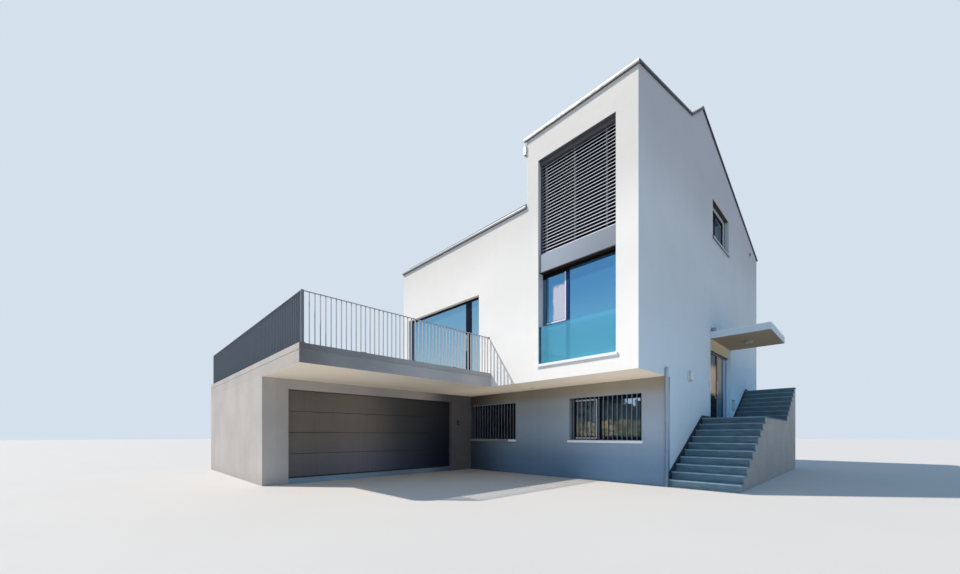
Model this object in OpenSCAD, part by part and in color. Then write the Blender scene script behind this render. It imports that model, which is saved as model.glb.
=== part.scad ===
// Detached hillside house with a garage wing under a terrace.
// Millimetres, Z up. The origin is on the ground, in the middle of the main block's plan.
// The front faces -Y and the entrance gable faces +X. "Depth" is measured back from the front wall's face.

/* [Main block] */
// Length of the front
main_w = 8900; // [8300:50:10800]
// Depth from front to back
main_d = 12000; // [11400:50:14400]
// Thickness of the outer walls
wall_t = 300; // [240:10:360]
// How far the lower storey stands back under the upper ones
recess = 1510; // [1200:10:1800]

/* [Levels] */
// Lower floor and garage floor
lower_z = 130; // [100:10:160]
// Underside of the overhang and of the terrace
soffit_z = 2640; // [2500:10:2700]
// Top of the terrace
terrace_z = 3030; // [2950:10:3150]
// Living floor
living_z = 3040; // [2960:10:3160]
// Upper floor
upper_z = 5880; // [5800:10:5950]
// Thickness of the upper floor
upper_floor_t = 280; // [200:10:320]

/* [Roof] */
// Roof surface at the low front wall
eave_z = 7360; // [7250:10:7500]
// Roof surface at the tower's front
tower_z = 9120; // [9000:10:9300]
// Ridge
ridge_z = 10770; // [10700:10:11200]
// Roof surface at the back wall
back_eave_z = 8780; // [8600:10:8950]
// Depth of the ridge behind the front
ridge_s = 4400; // [4300:10:4900]
// Pitch of the tower roof
tower_pitch = 14.6; // [8:0.1:15]
// Roof covering, measured plumb
cover_t = 50; // [30:5:70]
// Roof deck, measured plumb
deck_t = 260; // [180:10:320]
// Overhang of the covering at gables and eaves
verge = 35; // [20:5:50]
// Front face of the gutters
gutter_h = 75; // [70:5:100]
// Width of the gutters
gutter_w = 55; // [55:5:80]

/* [Tower window] */
// Width of the tower
tower_w = 2990; // [2900:10:3300]
// Wall between the opening and the gable corner
tower_side = 500; // [420:10:560]
// Width of the opening
tower_open_w = 2110; // [1750:10:2200]
// Head of the opening
tower_open_z = 8350; // [8200:10:8500]
// Sill of the panel between the two windows
spandrel_z = 5445; // [5350:5:5550]
// Top of that panel
spandrel_top = 5900; // [5850:5:5960]
// Width of the narrow sash
sash_w = 700; // [550:10:850]
// Height of the glass balustrade
balustrade_h = 980; // [900:10:1100]
// Spacing of the blind's slats
slat_pitch = 80; // [70:1:100]
// Width of a slat
slat_w = 80; // [60:1:90]
// Tilt of a slat
slat_tilt = 42; // [20:1:60]

/* [Garage wing] */
// Length of the garage beyond its door wall
garage_l = 6340; // [6000:10:7000]
// Distance of the door wall from the gable
door_wall_in = 6800; // [6600:10:7200]
// How far the wing stands in front of the house
wing_d = 5340; // [5200:10:6400]
// Overhang of the terrace beyond the door wall
canopy_l = 2490; // [2000:10:2600]
// Pier in front of the garage door
garage_pier = 595; // [450:5:700]
// Width of the garage door
garage_door_w = 5320; // [5000:10:5400]
// Height of the garage door
garage_door_h = 2260; // [2100:10:2300]
// Height of the lowest panel of that door
garage_low_panel = 620; // [540:10:680]
// Height of the terrace edge band
topping_t = 135; // [110:5:180]

/* [Railing] */
// Height over the terrace
rail_h = 1050; // [950:10:1200]
// Spacing of the flat bars
bar_pitch = 109; // [95:1:125]
// Depth of a flat bar
bar_d = 40; // [30:1:50]
// Thickness of a flat bar
bar_t = 8; // [6:1:12]
// Distance from the terrace edge
rail_in = 83; // [60:1:120]

/* [Entrance] */
// Depth of the doorway's near side
door_s = 5210; // [5150:10:5260]
// Width of the doorway
doorway_w = 2410; // [2350:10:2450]
// Height of the doorway
doorway_h = 2190; // [2050:5:2250]
// Width between jamb and mullion
leaf_open = 1070; // [890:10:1150]
// Depth of the shallow niche over the doorway
niche_d = 65; // [40:5:90]
// Underside of the canopy
canopy_z = 4190; // [4100:10:4300]
// Thickness of the canopy
canopy_t = 200; // [160:10:240]
// Reach of the canopy
canopy_w = 1490; // [1200:10:1700]

/* [Stairs] */
// Width
stair_w = 1490; // [1200:10:1700]
// Depth of the first riser
stair_s = 1606; // [1600:1:1650]
// Level of the landing
landing_z = 1725; // [1650:5:1800]
// Risers of the lower flight
lower_risers = 10; // [9:1:11]
// Going of the lower flight
lower_going = 303; // [280:1:310]
// Depth of the upper flight's first riser
upper_s = 8150; // [8100:10:8400]
// Risers of the upper flight
upper_risers = 7; // [6:1:8]
// Going of the upper flight
upper_going = 292; // [270:1:310]
// Rise of a step of the upper flight
upper_rise = 178; // [160:1:185]
// Thickness of the treads
tread_t = 35; // [25:1:50]
// Height of the skirting over the steps
skirt_h = 75; // [50:5:120]

/* [Windows] */
// Width of the frames
frame_b = 60; // [45:1:80]
// Depth of the frames
frame_d = 70; // [60:1:90]
// Thickness of the glass
glass_t = 24; // [16:1:30]
// Distance of frames behind the wall face
reveal = 180; // [120:5:200]
// Visible width of an opening sash inside its frame
sash_b = 45; // [30:1:60]
// Thickness of the metal sills
sill_t = 20; // [10:1:30]
// How far the sills stand out from the wall
sill_out = 40; // [25:1:60]
// Front edge of the sills below their top
sill_drop = 45; // [30:1:80]
// Overhang of the sills beside the opening
sill_side = 40; // [20:1:60]

/* [Hidden] */

white = [0.93, 0.93, 0.92];
grey_render = [0.72, 0.72, 0.73];
concrete = [0.66, 0.64, 0.61];
slate = [0.27, 0.31, 0.36];
anthracite = [0.16, 0.17, 0.19];
metal = [0.72, 0.74, 0.76];
sky_glass = [0.45, 0.62, 0.75, 0.5];

gable_x = main_w / 2;
left_x = -main_w / 2;
front_y = -main_d / 2;
door_wall_x = gable_x - door_wall_in;
wing_left_x = door_wall_x - garage_l;
terrace_x = door_wall_x + canopy_l;
tower_x = gable_x - tower_w;
open_x = gable_x - tower_side - tower_open_w;
low_s = recess + wall_t;
leaf_wall_x = gable_x - wall_t;
seat = 0.3;
eps = 1;
under_cover = cover_t + seat;

// Terrace door, measured from the gable, and its frame behind the wall face
terrace_door_in = 4820;
terrace_door_w = 3730;
terrace_door_h = 2430;
terrace_reveal = 120;
narrow_leaf = 480;
wide_post = 230;

// Windows of the lower storey, measured from the gable
low_window_w = 2080;
low_window_in = 565;
low_window_in_2 = 4660;
low_window_sill = 1065;
low_window_h = 1230;

// The gable's window, repeated on the left and at the back
side_window_s = 5445;
side_window_w = 1925;
side_window_sill = 7395;
side_window_h = 1215;
back_sill_h = 1000;
back_columns = [-2900, 0, 2900];

// The small window beside the upper flight
vent_window_s = 7780;
vent_window_w = 520;
vent_window_sill = 2095;
vent_window_h = 390;

// Roof lines over depth s: slopes are rise over run
front_grade = (ridge_z - eave_z) / ridge_s;
back_grade = (ridge_z - back_eave_z) / (main_d - ridge_s);
tower_grade = tan(tower_pitch);
valley_s = (tower_z - eave_z) / (front_grade - tower_grade);
function main_line(s) = s < ridge_s ? eave_z + s * front_grade : ridge_z - (s - ridge_s) * back_grade;
function tower_line(s) = s < valley_s ? tower_z + s * tower_grade : main_line(s);
function breaks(s0, s1, list) = concat([s0], [for (s = list) if (s > s0 && s < s1) s], [s1]);
function main_top(s0, s1, drop) = [for (s = breaks(s0, s1, [ridge_s])) [s, main_line(s) - drop]];
function tower_top(s0, s1, drop) = [for (s = breaks(s0, s1, [valley_s, ridge_s])) [s, tower_line(s) - drop]];
function reversed(list) = [for (i = [len(list) - 1:-1:0]) list[i]];
function band(top, t) = concat(top, [for (p = reversed(top)) [p[0], p[1] - t]]);

// A box from its low and high values on each axis
module block(x, y, z) {
    translate([x[0], y[0], z[0]]) cube([x[1] - x[0], y[1] - y[0], z[1] - z[0]]);
}

// The same box with y given as depth behind the front wall
module deep_block(x, s, z) {
    block(x, [front_y + s[0], front_y + s[1]], z);
}

// An outline in depth and height, drawn out from x0 to x1
module across(x0, x1) {
    translate([x0, front_y, 0]) rotate([90, 0, 90]) linear_extrude(x1 - x0) children();
}

// Placing of flat pieces: drawn width by height, thickness towards the outside
module on_front(x, s, z) {
    translate([x, front_y + s, z]) rotate([90, 0, 0]) children();
}

module on_gable(x, s, z) {
    translate([x, front_y + s, z]) rotate([90, 0, 90]) children();
}

module on_left(x, s, z) {
    translate([x, front_y + s, z]) rotate([90, 0, -90]) children();
}

module on_back(x, s, z) {
    translate([x, front_y + s, z]) rotate([90, 0, 180]) children();
}

// A wall outline from the roof line down to its foot
module wall_outline(top, foot) {
    last = len(top) - 1;
    polygon(concat(top, [[top[last][0], foot], [top[0][0], foot]]));
}

// A side wall's outline, stepped back under the overhang
module stepped_outline(top) {
    last = len(top) - 1;
    polygon(concat(top, [[top[last][0], 0], [low_s, 0], [low_s, soffit_z], [top[0][0], soffit_z]]));
}

// A window's panes as [x0, z0, x1, z1, has a sash]; a post is [place, width]
function upright_panes(w, h, posts, sash) =
    let (edges = concat([[0, frame_b]], posts, [[w - frame_b, frame_b]]))
    [for (i = [0:len(edges) - 2])
        [edges[i][0] + edges[i][1], frame_b, edges[i + 1][0], h - frame_b, sash]];

module pane_shape(p, inset) {
    translate([p[0] + inset, p[1] + inset]) square([p[2] - p[0] - 2 * inset, p[3] - p[1] - 2 * inset]);
}

// The frame round its panes; a sash stands back from the frame's outer face
sash_back = 12;

module window_frame(w, h, panes) {
    union() {
        linear_extrude(frame_d) difference() {
            square([w, h]);
            for (p = panes) pane_shape(p, 0);
        }
        for (p = panes) if (p[4])
            linear_extrude(frame_d - sash_back) difference() {
                pane_shape(p, 0);
                pane_shape(p, sash_b);
            }
    }
}

module window_panes(panes) {
    translate([0, 0, (frame_d - glass_t) / 2]) linear_extrude(glass_t)
        for (p = panes) pane_shape(p, p[4] ? sash_b : 0);
}

// A folded metal sill: its bed in the opening and its nosing before the wall
sill_lip = 8;

module sill_bed(w, depth, out = 0) {
    rotate([90, 0, 90]) linear_extrude(w) polygon([[0, -depth], [0, out], [sill_t, out], [sill_t, -depth]]);
}

module metal_sill(w, depth) {
    union() {
        sill_bed(w, depth, eps);
        translate([-sill_side, 0, 0]) rotate([90, 0, 90]) linear_extrude(w + 2 * sill_side)
            polygon([[0, seat], [0, sill_out - sill_lip], [-sill_drop, sill_out - sill_lip],
                     [-sill_drop, sill_out], [sill_t, sill_out], [sill_t, seat]]);
    }
}

// Floors

module ground_floor() {
    color(concrete) {
        deep_block([left_x + wall_t, leaf_wall_x], [low_s, main_d - wall_t], [0, lower_z]);
        union() {
            deep_block([wing_left_x + wall_t, door_wall_x - wall_t], [-wing_d + wall_t, recess],
                       [0, lower_z]);
            deep_block([door_wall_x - wall_t - eps, door_wall_x],
                       [garage_door_s, garage_door_s + garage_door_w], [0, lower_z]);
        }
    }
}

// The entrance hall inside the doorway, where the living floor is open
hall_depth = 2000;
hall_side = 200;
hall_floor_t = 200;
stair_hall_x = leaf_wall_x - hall_depth;
stair_hall_s = [door_s - hall_side, door_s + doorway_w + hall_side];

module living_floor() {
    color(grey_render) difference() {
        deep_block([left_x + wall_t, leaf_wall_x], [wall_t, main_d - wall_t], [soffit_z, living_z]);
        deep_block([stair_hall_x, gable_x], stair_hall_s, [soffit_z - eps, living_z + eps]);
    }
}

module upper_floor() {
    color(grey_render)
        deep_block([left_x + wall_t, leaf_wall_x], [wall_t, main_d - wall_t],
                   [upper_z - upper_floor_t, upper_z]);
}

module entry_floor() {
    color(grey_render)
        deep_block([stair_hall_x, leaf_wall_x], stair_hall_s, [landing_z - hall_floor_t, landing_z]);
}

// Lower storey

module low_window_holes() {
    for (inset = [low_window_in, low_window_in_2])
        deep_block([gable_x - inset - low_window_w, gable_x - inset], [recess - eps, low_s + eps],
                   [low_window_sill, low_window_sill + low_window_h]);
}

module lower_front_wall() {
    color(grey_render) difference() {
        deep_block([door_wall_x, gable_x], [recess, low_s], [0, soffit_z]);
        low_window_holes();
    }
}

module garage_front_wall() {
    color(concrete) deep_block([wing_left_x, door_wall_x], [-wing_d, -wing_d + wall_t], [0, soffit_z]);
}

module garage_left_wall() {
    color(concrete)
        deep_block([wing_left_x, wing_left_x + wall_t], [-wing_d + wall_t, recess], [0, soffit_z]);
}

module garage_back_wall() {
    color(concrete) deep_block([wing_left_x, door_wall_x], [recess, low_s], [0, soffit_z]);
}

garage_door_s = -wing_d + garage_pier;

module garage_door_wall() {
    color(concrete) difference() {
        deep_block([door_wall_x - wall_t, door_wall_x], [-wing_d + wall_t, recess], [0, soffit_z]);
        deep_block([door_wall_x - wall_t - eps, door_wall_x + eps],
                   [garage_door_s, garage_door_s + garage_door_w], [-eps, lower_z + garage_door_h]);
    }
}

// Sectional door: four panels, each with its front edges bevelled to a joint
garage_panels = 4;
garage_panel_t = 45;
garage_door_set = 110;
garage_bevel = 9;

module garage_door() {
    upper_h = (garage_door_h - garage_low_panel) / (garage_panels - 1);
    color([0.27, 0.25, 0.24])
        for (i = [0:garage_panels - 1]) {
            panel_h = i == 0 ? garage_low_panel : upper_h;
            foot_z = i == 0 ? 0 : garage_low_panel + (i - 1) * upper_h;
            translate([door_wall_x - garage_door_set - garage_panel_t, front_y + garage_door_s,
                       lower_z + foot_z])
                rotate([90, 0, 180]) mirror([1, 0, 0]) linear_extrude(garage_door_w)
                    polygon([[0, seat], [garage_panel_t - garage_bevel, seat],
                             [garage_panel_t, garage_bevel], [garage_panel_t, panel_h - garage_bevel],
                             [garage_panel_t - garage_bevel, panel_h], [0, panel_h]]);
        }
}

// Outer walls of the living and upper storeys

module left_wall() {
    color(white) difference() {
        across(left_x, left_x + wall_t) stepped_outline(main_top(wall_t, main_d - wall_t, under_cover));
        for (sill = [living_z + back_sill_h, side_window_sill])
            deep_block([left_x - eps, left_x + wall_t + eps], [side_window_s, side_window_s + side_window_w],
                       [sill, sill + side_window_h]);
    }
}

module back_wall() {
    color(white) difference() {
        across(left_x, gable_x) wall_outline(main_top(main_d - wall_t, main_d, under_cover), 0);
        for (x = back_columns, floor_z = [living_z, upper_z])
            deep_block([x - side_window_w / 2, x + side_window_w / 2],
                       [main_d - wall_t - eps, main_d + eps],
                       [floor_z + back_sill_h, floor_z + back_sill_h + side_window_h]);
    }
}

module front_wall() {
    color(white) difference() {
        union() {
            across(left_x, tower_x) wall_outline(main_top(0, wall_t, under_cover), soffit_z);
            across(tower_x, gable_x) wall_outline(tower_top(0, wall_t, under_cover), soffit_z);
        }
        deep_block([open_x, open_x + tower_open_w], [-eps, wall_t + eps], [living_z, tower_open_z]);
        deep_block([gable_x - terrace_door_in - terrace_door_w, gable_x - terrace_door_in],
                   [-eps, wall_t + eps], [terrace_z, terrace_z + terrace_door_h]);
    }
}

module gable_wall_front() {
    color(white) across(leaf_wall_x, gable_x) stepped_outline(tower_top(wall_t, door_s, under_cover));
}

module gable_wall_back() {
    color(white) difference() {
        across(leaf_wall_x, gable_x)
            wall_outline(tower_top(door_s + doorway_w, main_d - wall_t, under_cover), 0);
        deep_block([leaf_wall_x - eps, gable_x + eps], [vent_window_s, vent_window_s + vent_window_w],
                   [vent_window_sill, vent_window_sill + vent_window_h]);
    }
}

module gable_wall_over_door() {
    head_z = landing_z + doorway_h;
    color(white) difference() {
        across(leaf_wall_x, gable_x) wall_outline(tower_top(door_s, door_s + doorway_w, under_cover), head_z);
        deep_block([leaf_wall_x - eps, gable_x + eps], [side_window_s, side_window_s + side_window_w],
                   [side_window_sill, side_window_sill + side_window_h]);
        deep_block([gable_x - niche_d, gable_x + eps], [door_s - eps, door_s + doorway_w + eps],
                   [head_z - eps, canopy_z]);
    }
}

module gable_wall_under_door() {
    color(white) deep_block([leaf_wall_x, gable_x], [door_s, door_s + doorway_w], [0, landing_z]);
}

// Roof

module roof_deck_front() {
    color(slate) across(left_x + wall_t, tower_x)
        polygon(band(main_top(wall_t, ridge_s, under_cover), deck_t));
}

module roof_deck_back() {
    color(slate) across(left_x + wall_t, leaf_wall_x)
        polygon(band(main_top(ridge_s, main_d - wall_t, under_cover), deck_t));
}

module tower_roof_deck() {
    color(slate) across(tower_x, leaf_wall_x)
        polygon(band(tower_top(wall_t, ridge_s, under_cover), deck_t));
}

cheek_t = 200;

module tower_cheek() {
    under = under_cover + deck_t + seat;
    color(white) across(tower_x, tower_x + cheek_t)
        polygon([[wall_t, main_line(wall_t) - under], [valley_s, main_line(valley_s) - under],
                 [wall_t, tower_line(wall_t) - under]]);
}

module roof_cover_front() {
    color(anthracite) across(left_x - verge, tower_x)
        polygon(band(main_top(-verge, ridge_s, 0), cover_t));
}

module roof_cover_back() {
    color(anthracite) across(left_x - verge, gable_x + verge)
        polygon(band(main_top(ridge_s, main_d + verge, 0), cover_t));
}

// The covering of the tower reaches over the cheek only where it is clear of the main slope
module tower_roof_cover() {
    clear_s = valley_s - cover_t / (front_grade - tower_grade);
    color(anthracite) union() {
        across(tower_x, gable_x + verge) polygon(band(tower_top(-verge, ridge_s, 0), cover_t));
        across(tower_x - verge, tower_x) polygon(band(tower_top(-verge, clear_s, 0), cover_t));
    }
}

// Box gutters on the two front eaves
gutter_skin = 5;
gutter_lift = 3;
gutter_edge = 8;
gutter_over = 60;
low_gutter_z = eave_z - verge * front_grade;
tower_gutter_z = tower_z - verge * tower_grade;
back_gutter_z = back_eave_z - verge * back_grade;
function gutter_foot(top_z) = top_z + gutter_lift - gutter_h;

// The front edge is folded inwards at its top, and both ends are closed
module gutter(x0, x1, top_z) {
    foot = gutter_foot(top_z);
    back_top = top_z - cover_t - gutter_skin;
    rim = top_z + gutter_lift;
    inner = gutter_skin - gutter_w;
    union() {
        across(x0, x1)
            polygon([[0, foot], [0, back_top], [-gutter_skin, back_top], [-gutter_skin, foot + gutter_skin],
                     [inner, foot + gutter_skin], [inner, rim - gutter_skin],
                     [inner + gutter_edge, rim - gutter_skin], [inner + gutter_edge, rim],
                     [-gutter_w, rim], [-gutter_w, foot]]);
        for (x = [x0, x1 - gutter_skin])
            across(x, x + gutter_skin)
                polygon([[0, foot], [0, back_top], [-verge - gutter_skin, back_top], [inner, rim],
                         [-gutter_w, rim], [-gutter_w, foot]]);
    }
}

module gutters() {
    color(metal) {
        gutter(left_x, tower_x - seat, low_gutter_z);
        gutter(tower_x - gutter_over, gable_x + verge, tower_gutter_z);
        mirror([0, 1, 0]) gutter(left_x, gable_x, back_gutter_z);
    }
}

// Rain pipes: from a spout and a hopper at the tower's side, and straight down at the back
rain_pipe_r = 25;
spout_r = 14;
spout_dip = 40;
hopper = [65, 220, 220];
hopper_skin = 4;
hopper_front = 48;
hopper_drop = 120;
shoe_gap = 60;
saddle_h = 30;
saddle_side = 5;

// A pipe whose axis stands at [x, y], held to the wall behind it by saddles
module rain_pipe(x, y, z0, z1, turned, stand, saddles) {
    translate([x, y, z0]) cylinder(r = rain_pipe_r, h = z1 - z0, $fn = 32);
    reach = stand - seat;
    side = rain_pipe_r + saddle_side;
    for (z = saddles)
        translate([x, y, z]) rotate([0, 0, turned]) translate([0, -side, 0]) cube([reach, 2 * side, saddle_h]);
}

// An open box on the tower's side; the pipe leaves it behind the front corner
module hopper_and_pipe(x1, top) {
    x = x1 - hopper[0] / 2;
    y = front_y - hopper_front + hopper[1] - rain_pipe_r - hopper_skin;
    foot_z = main_line(y - front_y) + shoe_gap;
    floor_z = top - hopper[2];
    union() {
        difference() {
            translate([x1 - hopper[0], front_y - hopper_front, floor_z]) cube(hopper);
            translate([x1 - hopper[0] + hopper_skin, front_y - hopper_front + hopper_skin,
                       floor_z + hopper_skin])
                cube([hopper[0] - 2 * hopper_skin, hopper[1] - 2 * hopper_skin, hopper[2]]);
        }
        rain_pipe(x, y, foot_z, floor_z + hopper_skin / 2, 0, x1 - x + seat,
                  [foot_z + 250, (foot_z + floor_z) / 2 + 250]);
    }
}

module downpipes() {
    stand = gutter_w / 2;
    spout_x = tower_x - gutter_over + gutter_skin + 2 * spout_r;
    head = gutter_foot(tower_gutter_z) - seat;
    top = head - hopper_drop;
    back_x = left_x + 200;
    back_top = gutter_foot(back_gutter_z) - seat;
    color(metal) {
        translate([spout_x, front_y - stand, top - spout_dip])
            cylinder(r = spout_r, h = head - top + spout_dip, $fn = 32);
        hopper_and_pipe(tower_x - seat, top);
        union() rain_pipe(back_x, -front_y + stand, 0, back_top, -90, stand,
                          [for (i = [1:4]) i * back_top / 5]);
    }
}

// Terrace over the garage, with an arm beside the house

module terrace_plan(inset = 0) {
    polygon([[wing_left_x + inset, -wing_d + inset], [terrace_x - inset, -wing_d + inset],
             [terrace_x - inset, 0], [left_x, 0], [left_x, low_s - inset],
             [wing_left_x + inset, low_s - inset]]);
}

groove = 12;

module terrace_slab() {
    color(concrete) translate([0, front_y, soffit_z])
        linear_extrude(terrace_z - topping_t - soffit_z) terrace_plan();
}

module terrace_topping() {
    color(concrete) translate([0, front_y, terrace_z - topping_t]) union() {
        linear_extrude(groove + eps) terrace_plan(groove);
        translate([0, 0, groove]) linear_extrude(topping_t - groove) terrace_plan();
    }
}

// Railing: flat bars set across the run between two flat rails
rail_t = 10;
rail_w = 45;

module railing(length) {
    count = floor((length - bar_t) / bar_pitch);
    pitch = (length - bar_t) / count;
    translate([0, -rail_w / 2, rail_h - rail_t]) cube([length, rail_w, rail_t]);
    translate([0, -rail_w / 2, 0]) cube([length, rail_w, rail_t]);
    for (i = [0:count])
        translate([i * pitch, -bar_d / 2, 0]) cube([bar_t, bar_d, rail_h - rail_t]);
}

rail_end_gap = 60;
rail_x0 = wing_left_x + rail_in;
rail_x1 = terrace_x - rail_in;
rail_front_y = front_y - wing_d + rail_in;

module railing_front() {
    color(anthracite) translate([rail_x0 - rail_w / 2, rail_front_y, terrace_z])
        railing(rail_x1 - rail_x0 + rail_w);
}

module railing_sides() {
    from_y = rail_front_y + rail_w / 2 + seat;
    back_y = front_y + low_s - rail_in;
    color(anthracite) {
        translate([rail_x1, from_y, terrace_z]) rotate([0, 0, 90])
            railing(front_y - rail_end_gap - from_y);
        translate([rail_x0, from_y, terrace_z]) rotate([0, 0, 90])
            railing(back_y - rail_w / 2 - seat - from_y);
        translate([rail_x0 - rail_w / 2, back_y, terrace_z]) railing(left_x - seat - rail_x0 + rail_w / 2);
    }
}

// Stairs along the gable

lower_rise = landing_z / lower_risers;
landing_s = stair_s + (lower_risers - 1) * lower_going;
top_z = landing_z + upper_risers * upper_rise;
stair_end_s = upper_s + upper_risers * upper_going;
nosing = 15;
stair_x1 = gable_x + stair_w;

// A flight's body: steps up to the underside of the treads
module flight(s0, count, going, rise, from_z) {
    across(gable_x, stair_x1)
        polygon(concat([[s0 + count * going, 0], [s0, 0]],
            [for (i = [1:count], p = [0, 1]) [s0 + (i - 1 + p) * going, from_z + i * rise - tread_t]]));
}

module lower_stair() {
    color(slate) flight(stair_s, lower_risers - 1, lower_going, lower_rise, 0);
}

module stair_landing() {
    color(slate) deep_block([gable_x, stair_x1], [landing_s, upper_s], [0, landing_z - tread_t]);
}

module upper_stair() {
    color(slate) flight(upper_s, upper_risers, upper_going, upper_rise, landing_z);
}

module tread(s0, s1, top) {
    deep_block([gable_x, stair_x1 + nosing], [s0 - nosing, s1], [top - tread_t, top]);
}

module stair_treads() {
    color(slate) {
        for (i = [1:lower_risers - 1])
            tread(stair_s + (i - 1) * lower_going, stair_s + i * lower_going, i * lower_rise);
        tread(landing_s, upper_s, landing_z);
        for (i = [1:upper_risers])
            tread(upper_s + (i - 1) * upper_going, upper_s + i * upper_going, landing_z + i * upper_rise);
    }
}

// Skirting on the wall: straight over the nosings, cut to the steps below
skirt_t = 20;
skirt_lead = 60;

function step_teeth(s0, count, going, rise, from_z) =
    [for (i = [count - 1:-1:0], p = [1, 0]) [s0 - nosing + i * going, from_z + (i + p) * rise]];

module stair_skirting() {
    door_s1 = door_s + doorway_w;
    nose = stair_s - nosing;
    upper_nose = upper_s - nosing;
    foot_z = lower_rise * (1 - skirt_lead / lower_going) + skirt_h;
    color([0.12, 0.14, 0.18]) {
        across(gable_x, gable_x + skirt_t)
            polygon(concat([[nose - skirt_lead, 0], [nose - skirt_lead, foot_z],
                            [landing_s - nosing, landing_z + skirt_h], [door_s, landing_z + skirt_h],
                            [door_s, landing_z]],
                           step_teeth(stair_s, lower_risers, lower_going, lower_rise, 0)));
        across(gable_x, gable_x + skirt_t)
            polygon(concat([[door_s1, landing_z], [door_s1, landing_z + skirt_h],
                            [upper_nose - upper_going, landing_z + skirt_h],
                            [upper_nose + (upper_risers - 1) * upper_going, top_z + skirt_h],
                            [stair_end_s, top_z + skirt_h], [stair_end_s, top_z]],
                           step_teeth(upper_s, upper_risers, upper_going, upper_rise, landing_z)));
    }
}

// Entrance

module entry_canopy() {
    color(white) deep_block([gable_x, gable_x + canopy_w], [door_s, door_s + doorway_w],
                            [canopy_z, canopy_z + canopy_t]);
}

entry_set = 100;
entry_frame_d = 90;
jamb = 60;
stop_d = 20;
stop_w = 20;
leaf_gap = 9;
leaf_clear = 5;
sill_gap = 8;
knuckle_r = 9;
knuckle_l = 60;
hinge_out = 12;
entry_face = gable_x - entry_set;
entry_inner = entry_face - entry_frame_d;
leaf_s0 = door_s + jamb;
leaf_t = entry_frame_d - stop_d - leaf_clear;
hinge_x = entry_inner - hinge_out;
hinge_s = leaf_s0 + leaf_gap / 2;
hinge_heights = [250, 1000, 1800];

// Half a hinge: a knuckle on the axis with its plate
module knuckle(z, side) {
    translate([hinge_x, front_y + hinge_s, z]) {
        cylinder(r = knuckle_r, h = knuckle_l, $fn = 32);
        translate([0, side > 0 ? 0 : -hinge_plate, 0]) cube([hinge_out, hinge_plate, knuckle_l]);
    }
}

hinge_plate = 30;

module entry_frame() {
    color(anthracite) union() {
        on_gable(entry_inner, door_s, landing_z) linear_extrude(entry_frame_d) difference() {
            square([doorway_w, doorway_h]);
            translate([jamb, -eps]) square([leaf_open, doorway_h - jamb + eps]);
            translate([jamb + leaf_open + jamb, jamb])
                square([doorway_w - leaf_open - 3 * jamb, doorway_h - 2 * jamb]);
        }
        on_gable(entry_face - stop_d, door_s, landing_z) linear_extrude(stop_d) difference() {
            square([jamb + leaf_open + jamb, doorway_h]);
            translate([jamb + stop_w, -eps])
                square([leaf_open - 2 * stop_w, doorway_h - jamb - stop_w + eps]);
        }
        for (h = hinge_heights) knuckle(landing_z + h, -1);
    }
}

module entry_sidelight() {
    color(sky_glass)
        on_gable(entry_inner + (entry_frame_d - glass_t) / 2, door_s + leaf_open + 2 * jamb, landing_z + jamb)
            cube([doorway_w - leaf_open - 3 * jamb, doorway_h - 2 * jamb, glass_t]);
}

module entry_door() {
    color(anthracite) union() {
        on_gable(entry_inner, leaf_s0 + leaf_gap, landing_z + sill_gap)
            cube([leaf_open - 2 * leaf_gap, doorway_h - jamb - leaf_gap - sill_gap, leaf_t]);
        for (h = hinge_heights) knuckle(landing_z + h + knuckle_l + seat, 1);
    }
}

handle_r = 12;
handle_l = 420;
handle_out = 55;
handle_in = 75;

module grip(out) {
    z0 = landing_z + 850;
    y = front_y + leaf_s0 + leaf_open - leaf_gap - handle_in;
    x = out > 0 ? entry_inner + leaf_t + seat : entry_inner - seat;
    for (z = [z0 + 50, z0 + handle_l - 50])
        translate([x, y, z]) rotate([0, out * 90, 0]) cylinder(r = handle_r * 0.7, h = handle_out, $fn = 24);
    translate([x + out * handle_out, y, z0]) cylinder(r = handle_r, h = handle_l, $fn = 32);
}

module door_handle() {
    color(metal) {
        grip(1);
        grip(-1);
    }
}

// Tower opening: a window below, a panel at the floor, a window behind a slatted blind above

tower_post_w = 86;
transom_h = 70;
tower_set = reveal + 30;
lower_light_h = spandrel_z - living_z;
upper_light_h = tower_open_z - spandrel_top;
transom_z = sill_t + balustrade_h;

// The lower window: beside the post a fixed light with an opening sash over it, and one large fixed pane
lower_head_z = lower_light_h - frame_b;
lower_tower_panes = [[frame_b, frame_b, sash_w, transom_z, false],
                     [frame_b, transom_z + transom_h, sash_w, lower_head_z, true],
                     [sash_w + tower_post_w, frame_b, tower_open_w - frame_b, lower_head_z, false]];
upper_tower_panes = upright_panes(tower_open_w, upper_light_h, [[sash_w, tower_post_w]], true);

module tower_window_frames() {
    color(anthracite) {
        on_front(open_x, tower_set + frame_d, living_z)
            window_frame(tower_open_w, lower_light_h, lower_tower_panes);
        on_front(open_x, wall_t, spandrel_top)
            window_frame(tower_open_w, upper_light_h, upper_tower_panes);
    }
}

module tower_glass() {
    color(sky_glass) {
        on_front(open_x, tower_set + frame_d, living_z) window_panes(lower_tower_panes);
        on_front(open_x, wall_t, spandrel_top) window_panes(upper_tower_panes);
    }
}

balustrade_s = 60;
balustrade_t = 18;

module glass_balustrade() {
    color(sky_glass) deep_block([open_x, open_x + tower_open_w], [balustrade_s, balustrade_s + balustrade_t],
                                [living_z + sill_t, living_z + sill_t + balustrade_h]);
}

// A sheet metal tray before the floor's edge, with a dark joint at each side
spandrel_set = 50;
spandrel_joint = 30;
spandrel_fold = 35;

module spandrel_panel() {
    x1 = open_x + tower_open_w;
    color([0.55, 0.58, 0.62]) union() {
        deep_block([open_x, x1], [spandrel_set + spandrel_fold, wall_t], [spandrel_z, spandrel_top]);
        deep_block([open_x + spandrel_joint, x1 - spandrel_joint],
                   [spandrel_set, spandrel_set + spandrel_fold + eps], [spandrel_z, spandrel_top]);
    }
}

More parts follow.
